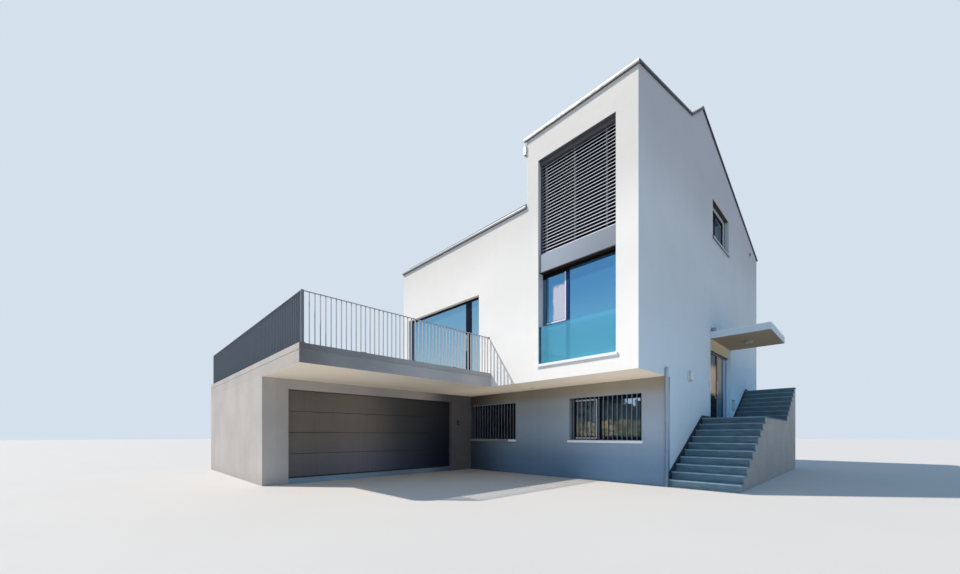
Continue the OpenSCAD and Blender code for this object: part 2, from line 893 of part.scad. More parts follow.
blind_box_h = 110;
blind_box_d = 130;
blind_s = 150;
bottom_rail_h = 28;
guide_w = 25;
guide_d = 40;
slat_t = 3;
slat_camber = 6;

// A slat's section: a shallow arc of even thickness, as heights over the width
slat_steps = 6;
function slat_edge(lift) = [for (i = [0:slat_steps])
    let (u = i / slat_steps * 2 - 1) [u * slat_w / 2, slat_camber * (1 - u * u) + lift]];

module slat(length) {
    rotate([90, 0, 90]) linear_extrude(length)
        rotate(slat_tilt) polygon(concat(slat_edge(0), reversed(slat_edge(slat_t))));
}

module blind_slats() {
    first = spandrel_top + bottom_rail_h + slat_pitch / 2;
    last = tower_open_z - blind_box_h - slat_pitch / 2;
    count = floor((last - first) / slat_pitch);
    color([0.62, 0.64, 0.66])
        for (i = [0:count])
            translate([open_x + guide_w, front_y + blind_s, first + i * (last - first) / count])
                slat(tower_open_w - 2 * guide_w);
}

module blind_case() {
    color([0.3, 0.32, 0.35]) union() {
        deep_block([open_x, open_x + tower_open_w], [blind_s - blind_box_d / 2, blind_s + blind_box_d / 2],
                   [tower_open_z - blind_box_h, tower_open_z]);
        deep_block([open_x + guide_w - eps, open_x + tower_open_w - guide_w + eps],
                   [blind_s - slat_w / 2, blind_s + slat_w / 2],
                   [spandrel_top, spandrel_top + bottom_rail_h]);
        for (x = [open_x, open_x + tower_open_w - guide_w])
            deep_block([x, x + guide_w], [blind_s - guide_d, blind_s + guide_d],
                       [spandrel_top, tower_open_z - blind_box_h + eps]);
    }
}

// Terrace door

terrace_door_x = gable_x - terrace_door_in - terrace_door_w;
terrace_panes = upright_panes(terrace_door_w, terrace_door_h,
                              [[terrace_door_w - narrow_leaf - wide_post, wide_post]], false);

module terrace_door_frame() {
    color(anthracite) on_front(terrace_door_x, terrace_reveal + frame_d, terrace_z)
        window_frame(terrace_door_w, terrace_door_h, terrace_panes);
}

module terrace_door_glass() {
    color(sky_glass) on_front(terrace_door_x, terrace_reveal + frame_d, terrace_z)
        window_panes(terrace_panes);
}

// The other windows: each module draws its child once in every opening of its kind, at a set depth

module in_low_windows(set) {
    for (inset = [low_window_in, low_window_in_2])
        on_front(gable_x - inset - low_window_w, recess + set, low_window_sill) children();
}

module in_side_windows(set) {
    on_gable(gable_x - set, side_window_s, side_window_sill) children();
    for (sill = [living_z + back_sill_h, side_window_sill])
        on_left(left_x + set, side_window_s + side_window_w, sill) children();
    for (x = back_columns, floor_z = [living_z, upper_z])
        on_back(x + side_window_w / 2, main_d - set, floor_z + back_sill_h) children();
}

module in_vent_window(set) {
    on_gable(gable_x - set, vent_window_s, vent_window_sill) children();
}

post_w = 80;
low_post_in = 260;
low_panes = upright_panes(low_window_w, low_window_h, [[low_window_w / 2 - low_post_in, post_w]], true);
side_panes = upright_panes(side_window_w, side_window_h, [[(side_window_w - post_w) / 2, post_w]], true);
vent_panes = upright_panes(vent_window_w, vent_window_h, [], true);
window_back = reveal + frame_d;

module window_frames() {
    color(anthracite) {
        in_low_windows(window_back) window_frame(low_window_w, low_window_h, low_panes);
        in_side_windows(window_back) window_frame(side_window_w, side_window_h, side_panes);
        in_vent_window(window_back) window_frame(vent_window_w, vent_window_h, vent_panes);
    }
}

module window_glass() {
    color(sky_glass) {
        in_low_windows(window_back) window_panes(low_panes);
        in_side_windows(window_back) window_panes(side_panes);
        in_vent_window(window_back) window_panes(vent_panes);
    }
}

// Upright flat bars before the windows of the lower storey
guard_pitch = 127;
guard_bar = [8, 40];
guard_rail = 12;
guard_set = 30;

module window_guard(w, h) {
    count = floor(w / guard_pitch);
    pitch = w / count;
    for (z = [sill_t, h - guard_rail])
        translate([0, 0, z]) cube([w, guard_bar[1], guard_rail]);
    for (i = [1:count - 1])
        translate([i * pitch - guard_bar[0] / 2, 0, sill_t]) cube([guard_bar[0], guard_bar[1], h - sill_t]);
}

module window_bars() {
    color(metal)
        for (inset = [low_window_in, low_window_in_2])
            translate([gable_x - inset - low_window_w, front_y + recess + guard_set, low_window_sill])
                window_guard(low_window_w, low_window_h);
}

// Metal sills lie in the openings before the frames and stand proud of the wall
module window_sills() {
    color(metal) {
        on_front(open_x, 0, living_z) metal_sill(tower_open_w, tower_set);
        in_low_windows(0) metal_sill(low_window_w, reveal);
        in_side_windows(0) metal_sill(side_window_w, reveal);
        in_vent_window(0) sill_bed(vent_window_w, reveal);
    }
}

// Fittings on the walls

pipe_r = 40;
pipe_back = 25;
pipe_top = soffit_z + 180;

module corner_downpipe() {
    color(metal) translate([gable_x + pipe_r + seat, front_y + recess - pipe_back, 0]) {
        cylinder(r = pipe_r, h = pipe_top, $fn = 32);
        translate([0, 0, pipe_top]) scale([1, 1, 0.8]) rotate_extrude($fn = 32)
            intersection() {
                circle(r = pipe_r, $fn = 32);
                square(pipe_r);
            }
    }
}

module round_lamp(r, depth) {
    cylinder(r = r, h = depth * 0.4, $fn = 48);
    cylinder(r = r * 0.85, h = depth, $fn = 48);
}

// Wall and ceiling lamps as [radius, depth], with the wall lamp's depth and height on the gable
wall_lamp = [150, 80];
wall_lamp_s = 3220;
wall_lamp_z = 2820;
canopy_lamp = [140, 45];

module lamps() {
    color([0.9, 0.9, 0.88]) {
        on_gable(gable_x + seat, wall_lamp_s, wall_lamp_z) round_lamp(wall_lamp[0], wall_lamp[1]);
        translate([gable_x + canopy_w / 2, front_y + door_s + doorway_w / 2, canopy_z - seat])
            rotate([180, 0, 0]) round_lamp(canopy_lamp[0], canopy_lamp[1]);
    }
}

// Small boxes as [width, height, how far they stand out]
intercom = [100, 210, 30];
intercom_s = 5000;
intercom_z = 2680;
key_switch = [90, 130, 45];
key_switch_s = 845;
key_switch_z = 1600;
canopy_light = [110, 120, 110];
canopy_light_in = 20;
gable_vent = [70, 90, 60];
gable_vent_s = 10560;
gable_vent_z = 8490;

module wall_box(size) {
    cube(size);
}

module wall_fittings() {
    color([0.55, 0.56, 0.58]) {
        on_gable(gable_x + seat, intercom_s, intercom_z) wall_box(intercom);
        on_gable(door_wall_x + seat, key_switch_s, key_switch_z) wall_box(key_switch);
        on_gable(gable_x + seat, gable_vent_s, gable_vent_z) wall_box(gable_vent);
        on_gable(gable_x + canopy_light_in, door_s + canopy_light_in, canopy_z + canopy_t + seat)
            wall_box(canopy_light);
    }
}

ground_floor();
lower_front_wall();
garage_front_wall();
garage_left_wall();
garage_back_wall();
garage_door_wall();
garage_door();
left_wall();
back_wall();
front_wall();
gable_wall_front();
gable_wall_back();
gable_wall_over_door();
gable_wall_under_door();
living_floor();
upper_floor();
entry_floor();
roof_deck_front();
roof_deck_back();
tower_roof_deck();
tower_cheek();
roof_cover_front();
roof_cover_back();
tower_roof_cover();
gutters();
terrace_slab();
terrace_topping();
railing_front();
railing_sides();
lower_stair();
stair_landing();
upper_stair();
stair_treads();
stair_skirting();
entry_canopy();
entry_frame();
entry_sidelight();
entry_door();
door_handle();
tower_window_frames();
tower_glass();
glass_balustrade();
spandrel_panel();
blind_slats();
blind_case();
terrace_door_frame();
terrace_door_glass();
window_frames();
window_glass();
window_bars();
window_sills();
corner_downpipe();
downpipes();
lamps();
wall_fittings();
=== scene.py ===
"""The finish and fine parts of a detached hillside house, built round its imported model."""

import math

import bmesh
import bpy
import numpy as np
from bpy.props import FloatProperty, FloatVectorProperty, IntProperty, PointerProperty
from bpy.types import Operator, Panel, PropertyGroup
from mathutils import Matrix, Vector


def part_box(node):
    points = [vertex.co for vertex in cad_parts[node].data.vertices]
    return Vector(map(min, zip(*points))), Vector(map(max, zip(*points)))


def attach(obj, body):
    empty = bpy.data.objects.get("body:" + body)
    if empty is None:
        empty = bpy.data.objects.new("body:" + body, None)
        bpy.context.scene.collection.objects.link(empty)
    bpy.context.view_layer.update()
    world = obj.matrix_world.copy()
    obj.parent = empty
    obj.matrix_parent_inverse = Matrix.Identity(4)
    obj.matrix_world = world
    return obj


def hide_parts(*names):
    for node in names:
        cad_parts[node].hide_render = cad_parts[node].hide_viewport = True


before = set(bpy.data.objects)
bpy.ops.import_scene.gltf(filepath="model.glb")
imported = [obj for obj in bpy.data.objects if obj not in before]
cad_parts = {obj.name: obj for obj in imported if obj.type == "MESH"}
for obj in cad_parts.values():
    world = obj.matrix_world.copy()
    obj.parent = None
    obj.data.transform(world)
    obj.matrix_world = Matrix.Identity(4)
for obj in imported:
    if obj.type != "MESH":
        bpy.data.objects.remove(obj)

bl_info = {
    "name": "Hillside House",
    "version": (1, 0, 0),
    "blender": (4, 5, 0),
    "location": "View3D > Sidebar > House",
    "description": "Finishes, roof sheets, glazing details and stage of a detached house",
    "category": "Object",
}

HOUSE, LEAF = "house", "entry_leaf"
PREFIX = "finish_"
X, Y, Z = np.eye(3)
FRONT_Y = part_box("front_wall")[0][1]
GABLE_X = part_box("gable_wall_front")[1][0]
# A formwork joint in the garage wing's front wall and the distance to the next one
JOINT_X, JOINT_PITCH = -2.78, 2.175
# Radius of the thin core that closes a turned body
CORE = 0.001


# Places read from the frame

def node_points(node):
    """The corners of a node's mesh as an array."""
    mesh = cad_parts[node].data
    points = np.empty(len(mesh.vertices) * 3, np.float32)
    mesh.vertices.foreach_get("co", points)
    return points.reshape(-1, 3).astype(float)


def limits(node):
    """The node's lowest and highest corner as two arrays."""
    low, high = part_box(node)
    return np.array(low), np.array(high)


def top_line(node):
    """The (y, z) points of a roof sheet's upper edge from front to back: at each y, the highest z."""
    points = np.round(node_points(node)[:, 1:], 4)
    places = np.unique(points[:, 0])
    heights = np.array([points[points[:, 0] == y, 1].max() for y in places])
    return np.column_stack([places, heights])


def solids(node):
    """The corners of each separate solid in a node, as a list of arrays.

    Corners at the same place get one number. Then each triangle's corners take the smallest label
    among them, again and again, until no label changes, so that a solid ends with one label.
    """
    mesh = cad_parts[node].data
    mesh.calc_loop_triangles()
    corners = np.empty(len(mesh.loop_triangles) * 3, np.int32)
    mesh.loop_triangles.foreach_get("vertices", corners)
    points = node_points(node)
    places, number = np.unique(np.round(points, 5), axis=0, return_inverse=True)
    triangles = number.ravel()[corners].reshape(-1, 3)
    label = np.arange(len(places))
    while True:
        least = label[triangles].min(axis=1)
        spread = label.copy()
        np.minimum.at(spread, triangles.ravel(), np.repeat(least, 3))
        if np.array_equal(spread, label):
            break
        label = spread
    return [places[label == value] for value in np.unique(label)]


def islands(node):
    """The lowest and highest corners of each separate solid in a node, as an array (count, 2, 3)."""
    return np.array([[solid.min(axis=0), solid.max(axis=0)] for solid in solids(node)])


def pipe_feet(node):
    """The middle of the lowest ring of each pipe in a node."""
    rings = [solid[solid[:, 2] < solid[:, 2].min() + 0.001] for solid in solids(node)]
    return np.array([(ring.min(axis=0) + ring.max(axis=0)) / 2 for ring in rings])


class Pane:
    """A pane's outer face: the rectangle from low to high, with its level axis and its way out."""

    def __init__(self, box):
        low, high = box
        middle = (low + high) / 2
        thin = int(np.argmin((high - low)[:2]))
        sign = 1.0 if middle[thin] > 0 else -1.0
        face = high[thin] if sign > 0 else low[thin]
        self.out = sign * np.eye(3)[thin]
        self.across = np.eye(3)[1 - thin]
        self.low, self.high = low.copy(), high.copy()
        self.low[thin] = self.high[thin] = face

    def framed(self, outline):
        """An outline of (inwards, outwards) carried round the pane."""
        return around(self.low, self.high, self.across, Z, self.out, outline)

    def ends(self):
        """The feet of the left and right sides, as seen from outside, and the way to the right."""
        right = np.cross(Z, self.out)
        left_foot, right_foot = sorted((self.low, self.high), key=lambda corner: corner @ right)
        return left_foot * (1 - Z), right_foot * (1 - Z), right

    def edged(self, outline, top=True):
        """The outline carried along the top if wanted, down the right side and along the foot."""
        left_foot, right_foot, right = self.ends()
        high, foot = self.high[2] * Z, self.low[2] * Z
        origins = [left_foot + high, right_foot + high, right_foot + foot, left_foot + foot]
        sides = [-Z, -right - Z, Z - right, Z]
        return carried(outline, origins, sides, self.out) if top else carried(
            outline, origins[1:], [-right, *sides[2:]], self.out)

    def hooded(self, outline):
        """The outline carried up the left side, along the top and down the right side."""
        left_foot, right_foot, right = self.ends()
        top, foot = self.high[2] * Z, self.low[2] * Z
        origins = [left_foot + foot, left_foot + top, right_foot + top, right_foot + foot]
        return carried(outline, origins, [right, right - Z, -right - Z, -right], self.out)

    @property
    def width(self):
        return float((self.high - self.low) @ self.across)


def panes(node):
    """Every separate pane of a node."""
    return [Pane(box) for box in islands(node)]


# Shapes as arrays: a shape is a pair of points (n, 3) and faces, each a list of point numbers

def ring_faces(rings, sides, closed_path):
    """Quads between neighbouring rings of a sweep, with a flat cap on each open end."""
    last = rings if closed_path else rings - 1
    i, j = np.meshgrid(np.arange(last), np.arange(sides), indexing="ij")
    here, there = i * sides, (i + 1) % rings * sides
    across = (j + 1) % sides
    quads = np.stack([here + j, here + across, there + across, there + j], axis=-1).reshape(-1, 4)
    faces = quads.tolist()
    if not closed_path:
        faces.append(list(range(sides))[::-1])
        faces.append(list(range((rings - 1) * sides, rings * sides)))
    return faces


def carried(outline, origins, sides, ups, closed_path=False):
    """An outline carried along a path: point (i, j) is origin i, plus outline j's first value
    times side i, plus its second value times up i."""
    outline = np.asarray(outline, float)
    origins = np.asarray(origins, float)
    sides = np.broadcast_to(np.asarray(sides, float), origins.shape)
    ups = np.broadcast_to(np.asarray(ups, float), origins.shape)
    points = (origins[:, None] + outline[None, :, :1] * sides[:, None]
              + outline[None, :, 1:] * ups[:, None])
    return points.reshape(-1, 3), ring_faces(len(origins), len(outline), closed_path)


def around(low, high, across, up, out, outline):
    """An outline carried round a rectangle with mitred corners.

    The rectangle's corners are low + a * across + b * up. At each corner the outline's first
    value moves inwards along both edges and its second value moves along out.
    """
    spans = np.abs(np.asarray(high, float) - np.asarray(low, float))
    width, height = spans @ np.abs(across), spans @ np.abs(up)
    corners = np.array([[0, 0], [1, 0], [1, 1], [0, 1]], float)
    origins = low + corners[:, :1] * width * across + corners[:, 1:] * height * up
    inwards = (1 - 2 * corners[:, :1]) * across + (1 - 2 * corners[:, 1:]) * up
    return carried(outline, origins, inwards, out, closed_path=True)


def turned(profile, centre, axis, steps=32):
    """A closed body of revolution: profile point (r, h) goes to centre + h * axis
    + r * (cos t * a + sin t * b), where a and b are at right angles to the axis."""
    profile = np.asarray(profile, float)
    a = np.cross(axis, [0.31, 0.57, 0.76])
    a /= np.linalg.norm(a)
    b = np.cross(axis, a)
    turn = np.linspace(0, 2 * math.pi, steps, endpoint=False)
    circle = np.cos(turn)[:, None] * a + np.sin(turn)[:, None] * b
    points = (np.asarray(centre, float) + profile[:, 1][None, :, None] * np.asarray(axis, float)
              + profile[:, 0][None, :, None] * circle[:, None])
    return points.reshape(-1, 3), ring_faces(steps, len(profile), True)


def turned_solid(profile, centre, axis, steps=32, crown=None):
    """A body of revolution with no hole: the profile closed along a thin core, which ends at the
    height crown or else level with the profile's last point."""
    top = profile[-1][1] if crown is None else crown
    whole = np.vstack([[(CORE, profile[0][1])], profile, [(CORE, top)]])
    return turned(whole, centre, axis, steps)


def slab(low, high):
    """A plain closed block between two corners."""
    low, high = np.asarray(low, float), np.asarray(high, float)
    outline = np.array([[0, 0], [1, 0], [1, 1], [0, 1]]) * (high - low)[:2]
    return carried(outline, [low, [low[0], low[1], high[2]]], X, Y)


def repeated(shape, offsets):
    """The shape once at each offset."""
    points, faces = shape
    offsets = np.asarray(offsets, float)
    moved = (points[None] + offsets[:, None]).reshape(-1, 3)
    steps = np.arange(len(offsets)) * len(points)
    return moved, [[corner + step for corner in face] for step in steps.tolist() for face in faces]


def joined(shapes):
    """Several shapes as one."""
    points, faces, count = [], [], 0
    for shape_points, shape_faces in shapes:
        points.append(shape_points)
        faces += [[corner + count for corner in face] for face in shape_faces]
        count += len(shape_points)
    return np.vstack(points), faces


def over_opening(outline, x, near, far, out):
    """The outline carried up the near side of an opening in a wall across X, along its head and
    down its far side; near is its lowest (y, z) and far its highest."""
    places = [(x, near[0], near[1]), (x, near[0], far[1]), (x, far[0], far[1]), (x, far[0], near[1])]
    return carried(outline, places, [Y, Y - Z, -Y - Z, -Y], out)


def spaced(start, end, pitch):
    """Even places from start to end, about a pitch apart."""
    return np.linspace(start, end, max(int(round(abs(end - start) / pitch)), 1) + 1)


def along_x(outline, start, end):
    """An outline of (y, z) points drawn out from x = start to x = end."""
    return carried(outline, [start * X, end * X], Y, Z)


def along_y(outline, start, end):
    """An outline of (x, z) points drawn out from y = start to y = end."""
    return carried(outline, [start * Y, end * Y], X, Z)


def trimmed(line, start, end):
    """The stretch of a roof line from y = start to y = end, with new end points on the line."""
    inner = line[(line[:, 0] > start + 1e-4) & (line[:, 0] < end - 1e-4)]
    ends = [[y, np.interp(y, line[:, 0], line[:, 1])] for y in (start, end)]
    return np.vstack([ends[0], inner, ends[1]])


def along_roof(outline, line, x):
    """An outline of (x, up) points carried along a roof line at x.

    Up is the sheet's normal. Where two slopes a and b meet it is (a + b) / (1 + a . b), so that
    the outline keeps its height over both.
    """
    run = np.diff(line, axis=0)
    run /= np.linalg.norm(run, axis=1)[:, None]
    normal = np.column_stack([-run[:, 1], run[:, 0]])
    before, after = np.vstack([normal[:1], normal]), np.vstack([normal, normal[-1:]])
    up = (before + after) / (1 + (before * after).sum(axis=1))[:, None]
    level = np.zeros((len(line), 1))
    return carried(outline, np.hstack([level + x, line]), X, np.hstack([level, up]))


def on_line(line, y, lift=0.0):
    """The point of a roof line at y, raised plumb by lift."""
    return [y, float(np.interp(y, line[:, 0], line[:, 1])) + lift]


def sleeve(radius, wall, height, foot):
    """An upright ring round a pipe."""
    profile = [[radius, 0], [radius + wall, 0], [radius + wall, height], [radius, height]]
    return turned(profile, foot, Z)


def linked(name, data):
    """A new object in the scene with this data."""
    made = bpy.data.objects.new(name, data)
    bpy.context.scene.collection.objects.link(made)
    return made


def make_piece(name, shape, finish, body=HOUSE, bevel=0.0, smooth=False):
    """Puts a shape into the scene as one piece with a named finish that rides on a body."""
    points, faces = shape
    mesh = bpy.data.meshes.new(name)
    mesh.from_pydata(points.tolist(), [], faces)
    shell = bmesh.new()
    shell.from_mesh(mesh)
    bmesh.ops.remove_doubles(shell, verts=shell.verts, dist=1e-6)
    bmesh.ops.recalc_face_normals(shell, faces=shell.faces)
    shell.to_mesh(mesh)
    shell.free()
    piece = linked(name, mesh)
    mesh.materials.append(bpy.data.materials[PREFIX + finish])
    if smooth:
        mesh.shade_smooth()
        mesh.set_sharp_from_angle(angle=math.radians(35))
    if bevel:
        ease_edges(piece, bevel)
    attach(piece, body)
    return piece


def ease_edges(piece, width):
    """Rounds the sharp edges of a piece."""
    eased = piece.modifiers.new("eased_edges", "BEVEL")
    eased.width = width
    eased.segments = 2
    eased.limit_method = "ANGLE"
    eased.angle_limit = math.radians(40)
    eased.harden_normals = True


def eased_copy(node, name, finish, width):
    """A merged copy of a node with rounded edges, which stands for the node."""
    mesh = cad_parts[node].data.copy()
    mesh.name = name
    shell = bmesh.new()
    shell.from_mesh(mesh)
    bmesh.ops.remove_doubles(shell, verts=shell.verts, dist=1e-5)
    bmesh.ops.dissolve_limit(shell, angle_limit=math.radians(0.5), verts=shell.verts,
                             edges=shell.edges)
    shell.to_mesh(mesh)
    shell.free()
    mesh.materials.clear()
    mesh.materials.append(bpy.data.materials[PREFIX + finish])
    mesh.shade_flat()
    piece = linked(name, mesh)
    ease_edges(piece, width)
    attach(piece, HOUSE)
    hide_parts(node)
    return piece


# Finishes

# The factor that leaves a colour as it is
EVEN = (1.0, 1.0, 1.0)


def shade(colour, factor, added=0.0):
    """The colour times a factor, plus what dust or wear adds."""
    return tuple(min(c * factor + added, 1.0) for c in colour[:3])


def patch(factor, rise, full, fall, end):
    """Stops that multiply by the factor from full to fall, and by 1 before rise and past end."""
    return [(rise, EVEN), (full, factor), (fall, factor), (end, EVEN)]


class Finish:
    """A material in the making: its nodes, its place in the object and its shader."""

    def __init__(self, name, colour, metallic=0.0, gloss=0.5):
        self.colour = tuple(colour[:3])
        self.material = bpy.data.materials.new(PREFIX + name)
        self.material.use_nodes = True
        self.tree = self.material.node_tree
        self.tree.nodes.clear()
        self.shader = self.node("ShaderNodeBsdfPrincipled")
        result = self.node("ShaderNodeOutputMaterial")
        self.tree.links.new(self.shader.outputs["BSDF"], result.inputs["Surface"])
        self.place = self.node("ShaderNodeTexCoord").outputs["Object"]
        self.set("Base Color", self.colour)
        self.set("Metallic", metallic)
        self.set("Specular IOR Level", gloss)
        self.material.diffuse_color = (*self.colour, 1.0)

    def node(self, kind, **values):
        made = self.tree.nodes.new(kind)
        for key, value in values.items():
            setattr(made, key, value)
        return made

    def feed(self, socket, value):
        """Links an output to a socket, or sets the socket to a plain value."""
        if isinstance(value, bpy.types.NodeSocket):
            self.tree.links.new(value, socket)
        elif socket.type == "RGBA" and len(value) == 3:
            socket.default_value = (*value, 1.0)
        else:
            socket.default_value = value

    def set(self, name, value):
        self.feed(self.shader.inputs[name], value)

    def noise(self, scale, detail=3.0, place=None):
        made = self.node("ShaderNodeTexNoise")
        self.feed(made.inputs["Vector"], place or self.place)
        self.feed(made.inputs["Scale"], scale)
        self.feed(made.inputs["Detail"], detail)
        return made.outputs["Fac"]

    def stretched(self, factors, detail=3.0, scale=1.0):
        """Noise on the place with each axis multiplied by its own factor."""
        made = self.node("ShaderNodeMapping")
        self.feed(made.inputs["Vector"], self.place)
        self.feed(made.inputs["Scale"], factors)
        return self.noise(scale, detail, made.outputs["Vector"])

    def cells(self, scale):
        """Distance to the nearest of many scattered points."""
        made = self.node("ShaderNodeTexVoronoi")
        self.feed(made.inputs["Vector"], self.place)
        self.feed(made.inputs["Scale"], scale)
        return made.outputs["Distance"]

    def axis(self, name, source=None):
        made = self.node("ShaderNodeSeparateXYZ")
        self.feed(made.inputs["Vector"], source or self.place)
        return made.outputs[name]

    def facing(self, axis):
        """The surface's own direction along one axis, from -1 to 1."""
        normal = self.node("ShaderNodeTexCoord").outputs["Normal"]
        return self.axis(axis, normal)

    def range(self, value, from_low, from_high, to_low=0.0, to_high=1.0):
        """A smooth step: to_low up to from_low, to_high past from_high."""
        made = self.node("ShaderNodeMapRange", interpolation_type="SMOOTHSTEP")
        for name, number in (("Value", value), ("From Min", from_low), ("From Max", from_high),
                             ("To Min", to_low), ("To Max", to_high)):
            self.feed(made.inputs[name], number)
        return made.outputs["Result"]

    def math(self, operation, a, b=0.0):
        made = self.node("ShaderNodeMath", operation=operation)
        self.feed(made.inputs[0], a)
        self.feed(made.inputs[1], b)
        return made.outputs["Value"]

    def times(self, a, b):
        return self.math("MULTIPLY", a, b)

    def minus(self, a, b):
        return self.math("SUBTRACT", a, b)

    def wavy(self, axis, scale, amount):
        """The place along an axis plus a noise times an amount, so that its limits wander."""
        return self.math("ADD", self.axis(axis), self.times(self.noise(scale), amount))

    def mix(self, factor, a, b, kind="MIX"):
        made = self.node("ShaderNodeMix", data_type="RGBA", blend_type=kind)
        self.feed(made.inputs["Factor"], factor)
        self.feed(made.inputs["A"], a)
        self.feed(made.inputs["B"], b)
        return made.outputs["Result"]

    def mottled(self, patches, low, high, before, after):
        """The finish's colour, times before where the patches are under low and after over high."""
        return self.mix(self.range(patches, low, high), shade(self.colour, before),
                        shade(self.colour, after))

    def stained(self, tone, patches, low, high, strength, factor, added=0.0):
        """The tone with stains of the shaded colour, as strong as strength where patches pass high."""
        return self.mix(self.range(patches, low, high, 0.0, strength), tone,
                        shade(self.colour, factor, added))

    def bump(self, height, distance, under=None):
        made = self.node("ShaderNodeBump")
        self.feed(made.inputs["Height"], height)
        self.feed(made.inputs["Distance"], distance)
        self.feed(made.inputs["Strength"], 1.0)
        if under:
            self.feed(made.inputs["Normal"], under)
        return made.outputs["Normal"]

    def past(self, axis, place, before, after, blur=0.004):
        """One tone before a place along an axis and another past it."""
        return self.mix(self.range(self.axis(axis), place - blur / 2, place + blur / 2), before, after)

    def graded(self, tone, axis, stops, part=1.0):
        """Painted light and shade: the tone multiplied by factors that change along an axis; a stop
        is (place, factor).
        """
        place, factor = self.axis(axis), stops[0][1]
        for (start, _), (end, after) in zip(stops, stops[1:]):
            factor = self.mix(self.range(place, start, end), factor, after)
        return self.mix(part, tone, factor, "MULTIPLY")

    def shaded(self, tone, way, sign, axis, stops, limit=None):
        """Painted light and shade: the tone graded along an axis on the faces that look one way, or on
        all if sign is 0; limit = (axis, (none, full), ...) fades it out along another axis."""
        part = self.range(self.facing(way), 0.5 * sign, 0.9 * sign) if sign else 1.0
        for none, full in limit[1:] if limit else ():
            part = self.times(part, self.range(self.axis(limit[0]), none, full))
        return self.graded(tone, axis, stops, part)

    def under(self, tone, below):
        """The tone, but another one on undersides."""
        return self.mix(self.range(self.facing("Z"), -0.9, -0.5, 1.0, 0.0), tone, below)

    def lines(self, axis, start, pitch, width):
        """1 within width of each line start + n * pitch across an axis, and 0 between them."""
        distance = self.math("PINGPONG", self.minus(self.axis(axis), start), pitch / 2)
        return self.range(distance, width / 2, width, 1.0, 0.0)

    def grid(self, start, pitch, width):
        """Lines across X and across Y, from a start (x, y)."""
        return self.math("MAXIMUM", *(self.lines(axis, place, pitch, width)
                                      for axis, place in zip("XY", start)))

    def finished(self, tone, patches, rough, height, distance, under=None):
        """The material: its tone, a roughness that the patches lead from one value of rough to
        the other, and a bump of height times distance over the bump under it."""
        self.set("Base Color", tone)
        self.set("Roughness", self.range(patches, 0.3, 0.7, *rough))
        self.set("Normal", self.bump(height, distance, under))
        return self.material


def mineral_render(name, colour, soffit=None, shades=()):
    """Trowelled mineral render: soft clouds, faint runs down the wall, a darker splash zone at
    the foot and a fine grain. Its undersides may have a colour of their own, which paints the
    light and shade under an overhang; shades are painted light and shade that grade the faces
    that look one way."""
    f = Finish(name, colour)
    tone = f.mottled(f.noise(0.55, 4.0), 0.35, 0.7, 1.0, 0.955)
    tone = f.stained(tone, f.stretched((5.0, 5.0, 0.22)), 0.55, 0.85, 0.35, 0.90)
    splash = f.range(f.wavy("Z", 2.2, 0.35), 0.12, 0.65, 0.40, 0.0)
    tone = f.mix(splash, tone, np.multiply(shade(colour, 0.74), (1.0, 0.97, 0.92)))
    # Painted light and shade on the faces that look one way
    for shading in shades:
        tone = f.shaded(tone, *shading)
    # Painted light and shade: undersides take the soffit colour
    if soffit:
        tone = f.under(tone, soffit)
    trowel = f.bump(f.noise(5.0, 4.0), 0.004)
    return f.finished(tone, f.noise(9.0), (0.82, 0.95), f.noise(260.0, 4.0), 0.0012, trowel)


def fair_concrete(name, colour, start, pitch, soffit=None, slabs=0.0, edge=None):
    """Fair-faced concrete: grey clouds, pour runs, fine pores and the thin upright marks of the
    formwork, one pitch apart from a start (x, y). Undersides may take the soffit colour, their
    paint warmed by painted bounce light, upper faces may be laid with slabs of that size, and the
    face past edge = (x, colour, stops along Y) takes that colour graded along Y, a painted shade."""
    f = Finish(name, colour)
    clouds = f.range(f.noise(0.8, 6.0), 0.3, 0.7)
    tone = f.mix(clouds, shade(colour, 1.05), shade(colour, 0.90))
    tone = f.stained(tone, f.stretched((3.0, 3.0, 0.3)), 0.5, 0.8, 0.5, 0.86)
    pores = f.times(f.range(f.cells(55.0), 0.04, 0.09, 1.0, 0.0), f.range(f.noise(14.0), 0.5, 0.62))
    tone = f.mix(f.times(pores, 0.55), tone, shade(colour, 0.5))
    upright = f.range(f.math("ABSOLUTE", f.facing("Z")), 0.4, 0.6, 1.0, 0.0)
    marks = f.times(f.grid(start, pitch, 0.006), upright)
    tone = f.mix(f.times(marks, 0.5), tone, shade(colour, 0.72))
    splash = f.range(f.wavy("Z", 3.0, 0.3), 0.1, 0.5, 0.45, 0.0)
    tone = f.mix(splash, tone, shade(colour, 0.68))
    height = f.minus(f.minus(f.noise(120.0, 5.0), f.times(pores, 0.9)), marks)
    # Painted shade: past edge_x the face takes the edge colour, graded along Y
    if edge:
        edge_x, coat, stops = edge
        coated = f.graded(f.mix(clouds, coat, shade(coat, 0.85)), "Y", stops)
        tone = f.past("X", edge_x - 0.004, tone, coated)
    # Painted bounce light: undersides take the warm soffit colour
    if soffit:
        tone = f.under(tone, soffit)
    if slabs:
        joints = f.times(f.grid(start, slabs, 0.008), f.range(f.facing("Z"), 0.5, 0.9))
        tone = f.mix(joints, tone, shade(colour, 0.35))
        height = f.minus(height, f.times(joints, 3.0))
    waves = f.bump(f.noise(2.5, 3.0), 0.003)
    return f.finished(tone, f.noise(6.0), (0.68, 0.9), height, 0.0015, waves)


